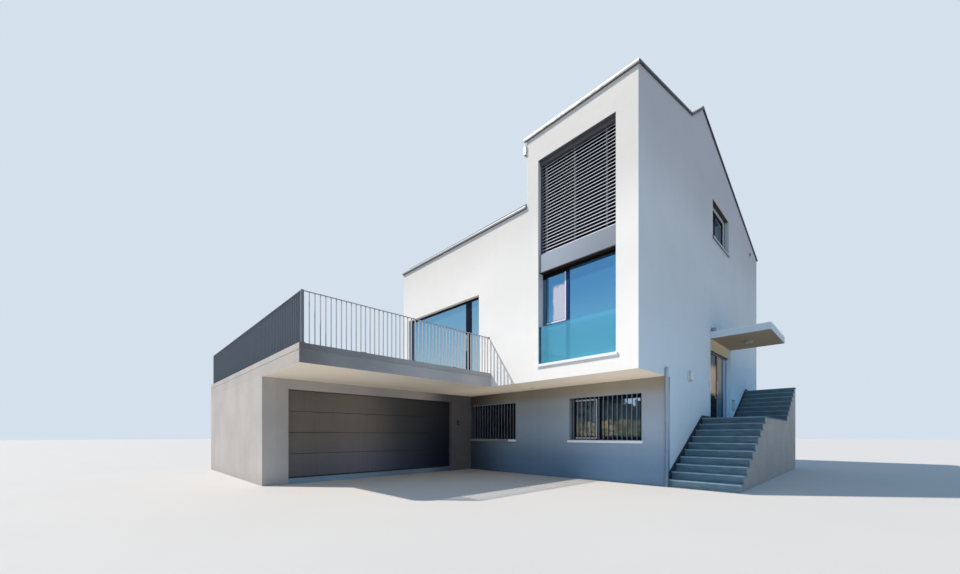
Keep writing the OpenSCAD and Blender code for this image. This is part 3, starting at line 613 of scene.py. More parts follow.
def coated_metal(name, colour, roughness, metallic, dust=0.03, gloss=0.5, below=None, steps=(),
                 tops=None):
    """Powder-coated metal: an even colour with faint dust, and the coat's orange-peel grain.
    Undersides may be of the colour below, a painted shade; past each step (axis, place, colour)
    it has another colour; tops multiplies the upper faces with a painted shade."""
    f = Finish(name, colour, metallic, gloss)
    tone = f.stained(f.colour, f.noise(2.5, 5.0), 0.45, 0.75, 0.5, 0.85, dust)
    if below:
        tone = f.under(tone, below)
    for axis, place, other in steps:
        tone = f.past(axis, place, tone, other)
    # Painted shade on the upper faces
    if tops:
        tone = f.shaded(tone, "Z", 1, "Z", [(0.0, tops)])
    rough = (roughness - 0.06, roughness + 0.1)
    return f.finished(tone, f.noise(7.0), rough, f.noise(900.0, 2.0), 0.0003)


def folded_sheet(name, colour, start_x, end_x):
    """An anodised sheet with a fine upright brushing, and a painted shade that makes it darker from
    one end to the other.
    """
    f = Finish(name, colour, 0.3)
    brushed = f.stretched((140.0, 140.0, 1.5))
    # Painted shade: lighter at start_x, darker towards end_x
    tone = f.mottled(f.axis("X"), start_x, end_x, 1.3, 0.8)
    tone = f.stained(tone, brushed, 0.3, 0.7, 0.15, 0.7)
    return f.finished(tone, brushed, (0.36, 0.46), brushed, 0.0002)


def leaf_coat(name, dark, reflected_warmth, low_z, high_z):
    """The entrance leaf's gloss coat: near black at its foot and top, with a painted warm
    reflection between low_z and high_z.
    """
    f = Finish(name, dark, gloss=0.04)
    height = f.wavy("Z", 1.5, 0.2)
    # Painted reflection: a warm band between low_z and high_z
    warm = f.times(f.range(height, low_z, low_z + 0.15), f.range(height, high_z, high_z - 0.3))
    return f.finished(f.mix(warm, dark, reflected_warmth), f.noise(6.0), (0.14, 0.24), f.noise(1.2, 1.0), 0.002)


def bare_metal(name, colour, roughness, metallic, rims=None, flanks=1.0, foot=None):
    """Weathered zinc or mill aluminium: cloudy patches of dull and bright, rolled in one direction.
    Below the rims of gutters at two heights it has a painted shade, flanks is a painted shade on
    the faces along X and foot a painted shade over the lowest 2 m."""
    f = Finish(name, colour, metallic)
    tone = f.mottled(f.noise(3.0, 6.0), 0.35, 0.7, 1.03, 0.86)
    tone = f.stained(tone, f.cells(40.0), 0.1, 0.6, 0.25, 0.8)
    if rims:
        # Painted shade below the gutters' rims
        half_way = sum(rims) / 2
        rim = f.range(f.axis("Z"), half_way - 0.1, half_way + 0.1, *rims)
        below_rim = f.range(f.minus(rim, f.axis("Z")), 0.030, 0.038)
        tone = f.mix(below_rim, tone, shade(colour, 0.22))
    # Painted shade on the faces along X
    if flanks < 1:
        sides = f.range(f.math("ABSOLUTE", f.facing("X")), 0.5, 0.9)
        tone = f.mix(sides, tone, shade(colour, flanks))
    # Painted shade over the lowest 2 m
    if foot:
        tone = f.graded(tone, "Z", [(0.2, foot), (2.2, EVEN)])
    rolled = f.stretched((1.0, 1.0, 12.0), scale=60.0)
    dents = f.bump(f.noise(1.8), 0.0012)
    return f.finished(tone, f.noise(11.0, 4.0), (roughness, roughness + 0.18), rolled, 0.0003, dents)


def roof_metal(name, colour):
    """Dark standing-seam sheet: runs of paler patina down the slope and a slight oil-canning."""
    f = Finish(name, colour, 0.45)
    tone = f.stained(f.colour, f.stretched((6.0, 0.35, 0.35), 5.0), 0.45, 0.8, 0.6, 1.25, 0.02)
    tone = f.stained(tone, f.noise(0.9, 5.0), 0.4, 0.7, 0.6, 0.8)
    canning = f.bump(f.stretched((4.0, 1.6, 1.6), 2.0), 0.006)
    return f.finished(tone, f.noise(8.0, 4.0), (0.38, 0.58), f.noise(300.0), 0.0002, canning)


def door_coat(name, colour, deep, low, high):
    """The garage door's coat: a fine upright grain. Painted shade makes it darker inwards between
    the corners low and high, bluer towards its foot and of the deep colour where both meet, and
    painted light and shade grade it along and up the door."""
    f = Finish(name, colour, 0.2)
    grain = f.stretched((90.0, 90.0, 1.2))
    inner = f.range(f.axis("Y"), (low[1] + high[1]) / 2, high[1])
    foot = f.range(f.axis("Z"), high[2], low[2], 0.5, 1.0)
    tone = f.mottled(grain, 0.3, 0.7, 0.93, 1.08)
    tone = f.stained(tone, f.noise(0.9, 3.0), 0.4, 0.7, 0.5, 0.88)
    # Painted shade: darker inwards, bluer at the foot, the deep colour where both meet
    tone = f.mix(f.times(inner, foot), tone, deep)
    near = low[1]
    # Painted light and shade along the door and up it
    tone = f.graded(tone, "Y", [(near + 0.5, (0.72, 0.74, 0.70)), (near + 1.9, (1.05, 1.05, 1.08)),
                                (near + 3.5, (0.42, 0.50, 0.58)), (high[1], (0.24, 0.26, 0.32))])
    tone = f.graded(tone, "Z", [(0.3, (0.82, 0.98, 1.40)), (1.4, EVEN)])
    waves = f.bump(f.noise(1.4), 0.002)
    return f.finished(tone, f.noise(5.0), (0.36, 0.5), grain, 0.0004, waves)


def stone(name, colour, roughness=0.6, noses=None, edge=None):
    """Honed slate: cloudy layers, pale flecks and a light wear, with painted light that makes it
    paler towards the lowest steps and painted shade on the upper faces. Noses multiplies the
    faces that look to the front with painted light, and the face past edge = (x, colour) is bare
    concrete."""
    f = Finish(name, colour, gloss=0.1 if noses else 0.5)
    tone = f.mottled(f.stretched((1.0, 1.0, 3.0), 8.0, 3.0), 0.3, 0.7, 0.85, 1.18)
    tone = f.stained(tone, f.noise(120.0, 2.0), 0.62, 0.72, 0.4, 1.5, 0.03)
    worn = f.times(f.range(f.facing("Z"), 0.5, 0.9), f.range(f.noise(1.6, 4.0), 0.4, 0.7, 0.1, 0.5))
    tone = f.mix(worn, tone, shade(colour, 1.3, 0.02))
    # Painted light and shade: paler low down, darker on the upper faces
    tone = f.graded(tone, "Z", [(0.2, (1.66, 1.42, 1.26)), (0.8, (1.15, 1.08, 0.97)),
                                (1.6, (0.74, 0.76, 0.72))])
    tone = f.shaded(tone, "Z", 1, "Z", [(0.0, (0.42, 0.62, 0.70))])
    # Painted light on the faces that look to the front
    if noses:
        tone = f.shaded(tone, "Y", -1, "Z", [(0.0, noses)])
    if edge:
        edge_x, bare = edge
        clouds = f.range(f.noise(1.2, 6.0), 0.3, 0.7)
        tone = f.past("X", edge_x - 0.004, tone, f.mix(clouds, bare, shade(bare, 0.85)))
    rough = (roughness - 0.1, roughness + 0.15)
    return f.finished(tone, f.noise(12.0, 4.0), rough, f.noise(45.0, 6.0), 0.0016)


def planed_wood(name, colour, fascia):
    """Planed boards: rings stretched along the board, with darker joints every 14 cm. The faces
    that look to -X are painted as a fascia."""
    f = Finish(name, colour)
    grain = f.stretched((1.0, 0.06, 1.0), 5.0, 9.0)
    joints = f.lines("X", 0.0, 0.14, 0.004)
    tone = f.mix(joints, f.mottled(grain, 0.3, 0.7, 0.8, 1.15), shade(colour, 0.3))
    tone = f.mix(f.range(f.facing("X"), -0.9, -0.5, 1.0, 0.0), tone, fascia)
    return f.finished(tone, grain, (0.5, 0.7), f.minus(grain, joints), 0.001)


def screed(name, colour, stops=None):
    """Floated screed: soft clouds, hairline variation and fine sand. Stops grade its +X face with
    painted shade.
    """
    f = Finish(name, colour)
    tone = f.mottled(f.noise(1.1, 6.0), 0.3, 0.7, 0.88, 1.08)
    tone = f.stained(tone, f.noise(25.0, 4.0), 0.5, 0.8, 0.3, 0.8)
    if stops:
        tone = f.shaded(tone, "X", 1, "Y", stops)
    return f.finished(tone, f.noise(4.0), (0.6, 0.85), f.noise(180.0, 4.0), 0.0008)


def within(f, axis, start, end, blur=0.03, wander=0.0):
    """1 between two places along an axis, with soft limits that may wander."""
    place = f.axis(axis)
    if wander:
        place = f.math("ADD", place, f.times(f.minus(f.noise(4.0, 5.0), 0.5), wander))
    return f.times(f.range(place, start, start + blur), f.range(place, end - blur, end, 1.0, 0.0))


def reflected_bands(f, tone):
    """A painted reflection on a low window on the right: a warm band, dark masses that rise above
    it and a patch of pale blue; below 1.2 m the pane is near black."""
    patches = f.range(f.stretched((1.0, 1.0, 1.8), 6.0, 5.0), 0.42, 0.6)
    rise = f.mix(f.range(f.axis("X"), 2.3, 3.0), (0.11, 0.15, 0.17), (0.03, 0.06, 0.075))
    masses = f.mix(patches, rise, (0.018, 0.040, 0.056))
    warm = f.mix(patches, (0.36, 0.30, 0.18), (0.13, 0.135, 0.075))
    warm = f.graded(warm, "X", [(2.1, (0.8, 0.8, 0.9)), (2.4, (1.2, 1.15, 1.1)), (2.9, (1.1, 1.05, 1.0)),
                                (3.6, (0.40, 0.52, 0.60))])
    seen = f.mix(within(f, "Z", 1.19, 1.63, 0.03, 0.32), masses, warm)
    pale = f.times(within(f, "Z", 2.02, 3.0, 0.04, 0.6), within(f, "X", 3.3, 4.2, 0.1, 0.35))
    seen = f.mix(pale, seen, (0.55, 0.70, 0.86))
    here = f.times(within(f, "Z", 0.5, 2.6), within(f, "X", 1.5, 4.1))
    # Painted reflection: a paler blue on the gable's pane low down
    in_gable = f.past("X", GABLE_X - 0.25, tone, (0.20, 0.42, 0.60))
    tone = f.mix(within(f, "Z", 2.0, 2.6), tone, in_gable)
    return f.mix(here, tone, f.past("Z", 1.2, (0.008, 0.014, 0.022), seen))


def reflected_patch(f, tone):
    """A painted reflection on the tower's opening sash: a pale patch with wandering limits."""
    pale = f.times(within(f, "X", 2.13, 2.6, 0.05, 0.12), within(f, "Z", 3.9, 5.1, 0.12, 0.3))
    pale = f.times(pale, f.range(f.axis("Z"), 4.08, 4.10))
    return f.mix(f.times(pale, 0.9), tone, (0.86, 0.78, 0.86))


def coated_glass(name, low_colour, high_colour, low_z, high_z, metallic=0.75, alpha=0.9,
                 blind=None, reflection=None):
    """Sun-control glass: a mirror coat whose tint, a painted reflection, goes from low_colour to
    high_colour with height, over a pane that is slightly wavy. Behind a blind, above blind =
    (z, colour), it has that colour, a painted shade."""
    f = Finish(name, high_colour, metallic)
    tone = f.mix(f.range(f.wavy("Z", 0.7, 0.3), low_z, high_z), low_colour, high_colour)
    if reflection:
        tone = reflection(f, tone)
    # Painted shade behind the blind
    if blind:
        tone = f.past("Z", blind[0], tone, blind[1])
    f.set("Alpha", alpha)
    return f.finished(tone, f.noise(1.5), (0.02, 0.06), f.noise(0.8, 1.0), 0.004)


def satin_glass(name, low_colour, high_colour, low_z, high_z, bands=()):
    """Etched glass: a milky, faintly cloudy pane, whose tint changes with height as a painted
    reflection, and past each band (y, colour) it takes that colour, painted light and shade."""
    f = Finish(name, high_colour, gloss=0.25)
    tone = f.mix(f.range(f.wavy("Z", 1.2, 0.4), low_z, high_z), low_colour, high_colour)
    # Painted light and shade in bands across the pane
    for y, painted_band in bands:
        tone = f.past("Y", y, tone, painted_band)
    f.set("Alpha", 0.92)
    return f.finished(tone, f.noise(30.0, 3.0), (0.3, 0.42), f.noise(500.0, 2.0), 0.0002)


def opal_glass(name, colour, high_z, high_colour):
    """Opal lamp glass with a soft gloss, and a painted shade of another colour above high_z."""
    f = Finish(name, colour)
    tone = f.past("Z", high_z, f.mottled(f.noise(8.0), 0.3, 0.7, 0.97, 1.0), high_colour)
    f.set("Subsurface Weight", 0.15)
    return f.finished(tone, f.noise(20.0), (0.2, 0.3), f.noise(90.0), 0.0002)


def rubber(name, colour):
    """Black sealing rubber, matt and slightly dusty."""
    f = Finish(name, colour)
    tone = f.mottled(f.noise(12.0, 4.0), 0.4, 0.7, 1.0, 2.0)
    return f.finished(tone, f.noise(30.0), (0.65, 0.85), f.noise(400.0), 0.0003)


def woven_tape(name, colour):
    """Woven tape: fine crossed threads that catch dust."""
    f = Finish(name, colour)
    threads = f.times(f.lines("X", 0.0, 0.002, 0.0007), f.lines("Z", 0.0, 0.003, 0.001))
    tone = f.mix(f.times(threads, 0.5), colour, shade(colour, 0.7))
    return f.finished(tone, f.noise(20.0), (0.7, 0.9), threads, 0.0004)


# Settings

def length(title, about, metres):
    return FloatProperty(name=title, description=about, default=metres, unit="LENGTH", precision=4)


def colour(title, about, value):
    return FloatVectorProperty(name=title, description=about, subtype="COLOR", size=3,
                               min=0.0, max=1.0, default=value)


class StageSettings(PropertyGroup):
    camera_place: FloatVectorProperty(
        name="Camera place", description="Where the camera stands", subtype="TRANSLATION",
        unit="LENGTH", default=(7.840, -13.977, 1.221))
    camera_turn: FloatProperty(
        name="Camera turn", description="Turn of the level camera to the left of the +Y axis",
        subtype="ANGLE", default=math.radians(45.657))
    lens: FloatProperty(name="Lens", description="Focal length in millimetres", default=14.253)
    lens_shift: FloatProperty(name="Lens shift", description="Upward shift of the lens", default=0.1546)
    key_direction: FloatVectorProperty(
        name="Key direction", description="The way the key light travels", subtype="DIRECTION",
        default=(0.50, 0.42, -0.76))
    key_strength: FloatProperty(name="Key strength", description="Strength of the key light",
                                default=4.25)
    key_size: FloatProperty(name="Key size", description="Angle that the key light fills",
                            subtype="ANGLE", default=math.radians(1.5))
    key_colour: colour("Key colour", "Tint of the key light", (1.0, 0.915, 0.82))
    sky_strength: FloatProperty(name="Sky strength", description="Strength of the light from all round",
                                default=0.585)
    sky_colour: colour("Sky colour", "Tint of the light from all round", (0.39, 0.655, 1.0))
    backdrop: colour("Backdrop", "Colour behind the house", (0.66, 0.75, 0.84))
    floor: colour("Floor", "Colour of the floor", (0.585, 0.565, 0.54))
    floor_radius: length("Floor radius", "Reach of the round floor", 150.0)
    bounce: FloatProperty(
        name="Bounce", description="Light thrown up under the overhangs, in watts per m2", default=0.6)
    bounce_colour: colour("Bounce colour", "Tint of that light", (1.0, 0.88, 0.72))


class FinishSettings(PropertyGroup):
    white: colour("White render", "Render of the upper storeys", (0.84, 0.84, 0.83))
    grey: colour("Grey render", "Render of the lower storey", (0.52, 0.53, 0.55))
    # The soffit colour is the undersides' paint, warmed by painted bounce light from the ground
    soffit: colour("Soffit", "Paint of the undersides", (0.93, 0.84, 0.71))
    concrete: colour("Concrete", "Fair-faced concrete of the garage wing", (0.495, 0.457, 0.423))
    # The terrace edge colour is a painted shade on the side away from the key light
    edge: colour("Terrace edge", "Coated side of the terrace", (0.35, 0.34, 0.335))
    roof: colour("Roof sheet", "Standing-seam sheet", (0.13, 0.14, 0.155))
    bright: colour("Bright metal", "Gutters and fittings", (0.60, 0.63, 0.665))
    sills: colour("Sills", "Coated window sills", (0.94, 0.96, 0.98))
    # The pipes' blue-grey is zinc grey with a painted cool shade
    pipes: colour("Pipes", "Zinc of the corner pipe", (0.38, 0.46, 0.58))
    edging: colour("Sash edging", "Light cladding of the sashes", (0.80, 0.81, 0.83))
    dark: colour("Dark metal", "Window and door frames", (0.005, 0.009, 0.021))
    # The tower frames' blue is a painted reflection of the sky
    tower_dark: colour("Tower frames", "Frames in the tower", (0.006, 0.040, 0.155))
    case: colour("Blind case", "Case, guides and lower rail of the blind", (0.085, 0.085, 0.090))
    # Railing and front railing are one metal in two copies: lighter for painted light, darker for painted
    # shade
    railing: colour("Railing", "Railing at the terrace's sides", (0.42, 0.44, 0.47))
    front_rail: colour("Front railing", "Railing at the terrace's front", (0.155, 0.175, 0.20))
    garage: colour("Garage door", "Coat of the garage door", (0.180, 0.145, 0.118))
    panel: colour("Panel", "Panel between the tower's windows", (0.205, 0.245, 0.300))
    slats: colour("Slats", "Slats of the blind", (0.60, 0.63, 0.70))
    slate: colour("Slate", "Treads and risers", (0.130, 0.220, 0.285))
    skirting: colour("Skirting", "Stone along the stairs", (0.003, 0.018, 0.043))


class RoofSettings(PropertyGroup):
    seam_pitch: length("Seam pitch", "Width of a sheet between two standing seams", 0.50)
    seam_height: length("Seam height", "Height of a standing seam", 0.025)
    cap_reach: length("Ridge cap", "Reach of the ridge cap down each slope", 0.15)
    valley_reach: length("Valley sheet", "Reach of the valley sheet up each slope", 0.14)
    trim_width: length("Verge trim", "Width of the trims along the verges", 0.05)
    trim_height: length("Verge height", "Height of the trims over the sheets", 0.006)
    trim_drop: length("Verge drop", "How far the trims cover the edges of the sheets", 0.052)
    upstand: length("Upstand", "Height of the flashing at the tower's cheek", 0.11)


class RainSettings(PropertyGroup):
    strap_pitch: length("Strap pitch", "Distance between the gutter straps", 0.75)
    strap_width: length("Strap width", "Width of a gutter strap", 0.025)
    sleeve_pitch: length("Sleeve pitch", "Length of a piece of pipe between two sleeves", 2.0)
    sleeve_height: length("Sleeve height", "Height of a pipe sleeve", 0.07)
    sleeve_wall: length("Sleeve wall", "How far a sleeve stands out from its pipe", 0.003)
    hopper_width: length("Hopper width", "Width of the hopper", 0.065)
    hopper_depth: length("Hopper depth", "Depth of the hopper", 0.22)


class GlazingSettings(PropertyGroup):
    gasket_width: length("Gasket width", "Width of the seal round each pane", 0.009)
    gasket_height: length("Gasket height", "How far the seal stands before the pane", 0.006)
    edging_width: length("Edging width", "Width of the light cladding on a sash", 0.044)
    edging_height: length("Edging height", "Thickness of that cladding", 0.004)
    sash_stand: length("Sash stand", "How far a sash stands before its pane", 0.011)
    fixed_z: length("Fixed lights", "Height below which the tower's panes are fixed", 4.0)
    sash_width: length("Opening sash", "Panes narrower than this are in opening sashes", 0.75)
    reveal: length("Reveal", "Depth of the windows' reveals before the frames", 0.165)
    rail_depth: length("Rail depth", "Depth of the guide rails in the reveals", 0.055)


class TowerSettings(PropertyGroup):
    tape_first: length("First tape", "Distance of the blind's first tape from the opening's side", 0.167)
    tape_pitch: length("Tape pitch", "Distance between the tapes", 0.830)
    tape_count: IntProperty(name="Tapes", description="Number of the blind's tapes", default=3)
    tape_width: length("Tape width", "Width of a tape", 0.006)
    drip_drop: length("Drip", "Height of the drip edge under the panel", 0.022)
    channel_width: length("Channel width", "Width of the channels that hold the balustrade", 0.022)
    channel_depth: length("Channel depth", "Depth of those channels", 0.045)


class TerraceSettings(PropertyGroup):
    plate_pitch: length("Plate pitch", "Distance between the railing's foot plates", 1.30)
    plate_size: length("Plate size", "Side of a foot plate", 0.10)
    plate_thickness: length("Plate thickness", "Thickness of a foot plate", 0.006)
    post: length("Corner post", "Side of the railing's corner posts", 0.052)
    knob: length("Knob", "Radius of the knob at the end of the handrail", 0.020)


class EntranceSettings(PropertyGroup):
    threshold_height: length("Threshold", "Height of the threshold", 0.003)
    capping_width: length("Capping width", "Width of the metal capping on the canopy's edge", 0.06)
    capping_drop: length("Capping drop", "How far the capping covers the canopy's face", 0.03)
    ring_width: length("Lamp ring", "Width of the rings round the lamps", 0.008)
    rosette: length("Rosette", "Radius of the lock's rosette", 0.026)


class GarageSettings(PropertyGroup):
    seal_width: length("Seal width", "Width of the seal round the garage door", 0.015)
    foot_seal: length("Foot seal", "Height of the seal along the foot of the door", 0.028)
    plug_radius: length("Plug radius", "Radius of the plugs in the formwork's tie holes", 0.016)
    plug_low: length("Lower plugs", "Height of the lower plugs", 0.72)
    plug_high: length("Upper plugs", "Height of the upper plugs", 1.95)
    joint_x: length("Joint", "Place of a formwork joint in the front wall", JOINT_X)
    joint_pitch: length("Joint pitch", "Distance between the formwork joints", JOINT_PITCH)


def paint(finish, *nodes):
    """Gives carried-over nodes their finish."""
    for node in nodes:
        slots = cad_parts[node].data.materials
        slots.clear()
        slots.append(finish)


class HOUSE_OT_stage(Operator):
    """Camera at the photograph's place, key light, sky, soft bounce lights and a round pale floor"""
    bl_idname = "house.stage"
    bl_label = "Stage"

    def execute(self, context):
        s = context.scene.house_stage
        camera_data = bpy.data.cameras.new("camera")
        camera_data.sensor_width = 36.0
        camera_data.lens = s.lens
        camera_data.shift_y = s.lens_shift
        camera_data.clip_end = 400.0
        camera = linked("camera", camera_data)
        camera.location = s.camera_place
        camera.rotation_euler = (math.radians(90), 0.0, s.camera_turn)
        context.scene.camera = camera

        key_data = bpy.data.lights.new("key", "SUN")
        key_data.energy = s.key_strength
        key_data.angle = s.key_size
        key_data.color = s.key_colour
        key = linked("key", key_data)
        key.rotation_mode = "QUATERNION"
        key.rotation_quaternion = s.key_direction.to_track_quat("-Z", "Y")

        self.make_sky(context, s)
        self.make_floor(s)
        self.make_bounce(s)
        context.scene.view_settings.view_transform = "Standard"
        return {"FINISHED"}

    def make_sky(self, context, s):
        """Even light from all round; what the camera, gloss and glass see is the backdrop."""
        world = bpy.data.worlds.new("sky")
        world.use_nodes = True
        context.scene.world = world
        tree = world.node_tree
        tree.nodes.clear()
        lit = tree.nodes.new("ShaderNodeBackground")
        lit.inputs["Color"].default_value = (*s.sky_colour, 1.0)
        lit.inputs["Strength"].default_value = s.sky_strength
        seen = tree.nodes.new("ShaderNodeBackground")
        seen.inputs["Color"].default_value = (*s.backdrop, 1.0)
        seen.inputs["Strength"].default_value = 1.0
        path = tree.nodes.new("ShaderNodeLightPath")
        rays = path.outputs["Is Camera Ray"]
        for name in ("Is Glossy Ray", "Is Transmission Ray"):
            either = tree.nodes.new("ShaderNodeMath")
            either.operation = "MAXIMUM"
            tree.links.new(rays, either.inputs[0])
            tree.links.new(path.outputs[name], either.inputs[1])
            rays = either.outputs[0]
        choose = tree.nodes.new("ShaderNodeMixShader")
        result = tree.nodes.new("ShaderNodeOutputWorld")
        tree.links.new(rays, choose.inputs[0])
        tree.links.new(lit.outputs[0], choose.inputs[1])
        tree.links.new(seen.outputs[0], choose.inputs[2])
        tree.links.new(choose.outputs[0], result.inputs["Surface"])

    def make_bounce(self, s, over_floor=0.02):
        """Soft upward light under the terrace and in the recess, where the floor throws it back; each
        area has its corners and its share of the bounce."""
        terrace, door_x = limits("terrace_slab"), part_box("garage_door")[1][0]
        recess_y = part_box("lower_front_wall")[0][1]
        areas = {"terrace_bounce": ((door_x, terrace[0][1]), (terrace[1][0], FRONT_Y), 0.6),
                 "recess_bounce": ((door_x, FRONT_Y), (GABLE_X, recess_y), 1.5)}
        for name, (low, high, part) in areas.items():
            light = bpy.data.lights.new(name, "AREA")
            light.shape = "RECTANGLE"
            light.size, light.size_y = high[0] - low[0], high[1] - low[1]
            light.spread = math.radians(60)
            light.energy = s.bounce * part * light.size * light.size_y
            light.color = s.bounce_colour
            lamp = linked(name, light)
            lamp.location = ((low[0] + high[0]) / 2, (low[1] + high[1]) / 2, over_floor)
            lamp.rotation_euler = (math.pi, 0.0, 0.0)
            lamp.visible_camera = lamp.visible_glossy = False

    def make_floor(self, s, corners=96, drop=0.002):
        """A disc just below the ground: radius * (cos t, sin t) at even steps of t."""
        turn = np.linspace(0, 2 * math.pi, corners, endpoint=False)
        rim = np.column_stack([np.cos(turn), np.sin(turn), np.zeros(corners)]) * s.floor_radius
        mesh = bpy.data.meshes.new("floor")
        mesh.from_pydata((rim - drop * Z).tolist(), [], [list(range(corners))])
        f = Finish("pale_floor", s.floor)
        f.set("Base Color", f.mottled(f.noise(0.4), 0.3, 0.7, 0.99, 1.01))
        f.set("Roughness", 0.85)
        mesh.materials.append(f.material)
        linked("floor", mesh)


class HOUSE_OT_finishes(Operator):
    """Render, concrete, metal, stone and glass on every carried-over piece"""
    bl_idname = "house.finishes"
    bl_label = "Finishes"

    def execute(self, context):
        c = context.scene.house_finish
        for group in (self.upper_walls, self.lower_walls, self.garage_wing, self.terrace, self.roofs,
                      self.bare_metals, self.coated_metals, self.frames, self.entrance, self.steps,
                      self.glass, self.small_parts):
            group(c)
        return {"FINISHED"}

    def upper_walls(self, c):
        """White render with painted light and shade: warm on the lit front, cool on the gable in
        shade, deeper round the doorway, darker on the faces to -X, and undersides in the soffit
        colour of painted bounce light.
        """
        door_top, canopy_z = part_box("entry_door")[1][2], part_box("entry_canopy")[0][2]
        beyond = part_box("gable_wall_back")[0][1] + 0.03
        front = [(3.5, (1.14, 1.11, 1.07)), (5.5, (1.03, 1.0, 0.965)), (7.5, (0.84, 0.815, 0.775))]
        gable = [(2.0, (0.84, 0.98, 1.06)), (6.0, (0.81, 0.83, 0.84)), (9.0, (0.65, 0.62, 0.63))]
        by_door = patch((0.65, 0.88, 0.95), -1.2, -0.4, beyond - 0.15, beyond)
        over_door = patch((1.0, 0.76, 0.48), -0.9, -0.7, beyond - 0.15, beyond)
        behind = [(1.2, EVEN), (2.2, (0.62, 0.98, 1.12)), (3.3, (0.70, 0.80, 0.90)), (4.8, EVEN)]
        jamb = [(2.0, (0.72, 1.04, 1.18)), (4.0, (0.85, 1.0, 1.12))]
        # Painted light and shade: the lit front, the gable in shade, the doorway's surroundings and the
        # faces to -X
        shades = [("Y", -1, "Z", front),
                  ("X", 1, "Z", gable),
                  ("X", 1, "Y", by_door, ("Z", (2.9, 2.3))),
                  ("X", 1, "Z", behind, ("Y", (beyond - 0.25, beyond))),
                  ("Y", -1, "Z", jamb, ("Y", (1.0, 1.5))),
                  ("X", 1, "Y", over_door, ("Z", (door_top - 0.1, door_top), (canopy_z + 0.1, canopy_z))),
                  ("X", -1, "Z", [(0.0, (0.88, 0.88, 0.88))])]
        paint(mineral_render("white_render", c.white, c.soffit, shades), "left_wall", "back_wall",
              "front_wall", "gable_wall_front", "gable_wall_back", "gable_wall_over_door",
              "gable_wall_under_door", "tower_cheek")

    def lower_walls(self, c):
        """Grey render with painted shade, deep at its inner end and graded with height, and the
        undersides in the soffit colour, their paint warmed by painted bounce light.
        """
        corner_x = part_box("lower_front_wall")[0][0]
        # Painted shade along the wall and up it
        along = [(corner_x, (0.17, 0.18, 0.19)), (corner_x + 2.4, (0.80, 0.86, 0.90)),
                 (corner_x + 5.8, (1.05, 1.12, 1.17))]
        upwards = [(0.3, (0.34, 0.52, 0.72)), (1.5, (0.78, 0.89, 0.98)), (2.1, (0.76, 0.78, 0.80)),
                   (2.5, (0.65, 0.53, 0.38))]
        shades = [("Y", 0, "X", along), ("Y", 0, "Z", upwards)]
        paint(mineral_render("grey_render", c.grey, None, shades), "lower_front_wall")
        paint(mineral_render("soffit_render", c.soffit), "living_floor")
        paint(mineral_render("inside_plaster", (0.72, 0.71, 0.69)), "upper_floor", "entry_floor")

    def garage_wing(self, c):
        """Fair-faced concrete with painted shade deep in the recess on the door wall, the screed before
        the garage door with painted shade on its side, and the door's coat with painted light and
        shade.
        """
        start, pitch = (JOINT_X, -8.1), JOINT_PITCH
        paint(fair_concrete("wing_concrete", c.concrete, start, pitch), "garage_front_wall",
              "garage_left_wall", "garage_back_wall")
        # Painted shade on the door wall, deep towards the recess
        deep = [(FRONT_Y - 0.8, EVEN), (FRONT_Y + 0.4, (0.27, 0.28, 0.32))]
        whole_face = (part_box("garage_door_wall")[0][0], c.concrete, deep)
        paint(fair_concrete("door_wall_concrete", c.concrete, start, pitch, edge=whole_face),
              "garage_door_wall")
        low, high = limits("garage_door")
        # Painted shade on the +X side of the screed before the door
        sill = [(low[1] + 1.5, (0.64, 0.95, 1.25)), (high[1] - 1.2, (0.6, 0.76, 1.0)),
                (high[1], (0.14, 0.25, 0.46))]
        paint(screed("screed", (0.42, 0.41, 0.39), sill), "ground_floor")
        paint(door_coat("garage_coat", c.garage, (0.008, 0.018, 0.045), low, high), "garage_door")

    def terrace(self, c):
        """Concrete with its underside in the soffit colour of painted bounce light, slabs on top and a
        side darkened by painted shade, and the railings: a lighter copy at the sides for painted
        light and a darker one at the front for painted shade.
        """
        low, high = limits("terrace_slab")
        start, pitch = (-1.1, -7.0), 2.38
        # Painted shade along the terrace's side: darkest at the front, lighter inwards
        inwards = [(low[1], (0.58, 0.56, 0.55)), (low[1] + 1.0, (0.85, 0.88, 0.90)),
                   (low[1] + 2.3, (1.25, 1.22, 1.24)), (low[1] + 3.3, (1.48, 1.46, 1.44))]
        paint(fair_concrete("terrace_concrete", shade(c.concrete, 0.95), start, pitch, c.soffit,
                            edge=(high[0], c.edge, inwards)), "terrace_slab")
        paint(fair_concrete("edge_concrete", shade(c.concrete, 0.98), start, pitch, slabs=0.6,
                            edge=(high[0], shade(c.edge, 0.84), inwards)), "terrace_topping")
        # One railing metal in two copies: lighter at the sides as painted light, darker at the front as
        # painted shade
        paint(coated_metal("rail_metal", c.railing, 0.45, 0.3), "railing_sides")
        paint(coated_metal("front_rail_metal", c.front_rail, 0.45, 0.3, 0.015), "railing_front")

    def roofs(self, c):
        """Timber decks with painted verges, the roof sheets and the coat of the verge trims."""
        paint(planed_wood("roof_timber", (0.42, 0.30, 0.19), shade(c.white, 0.85)), "roof_deck_front",
              "roof_deck_back", "tower_roof_deck")
        paint(roof_metal("roof_sheet", c.roof), "roof_cover_front", "roof_cover_back",
              "tower_roof_cover")
        coated_metal("verge_coat", (0.019, 0.019, 0.020), 0.5, 0.1, 0.006)

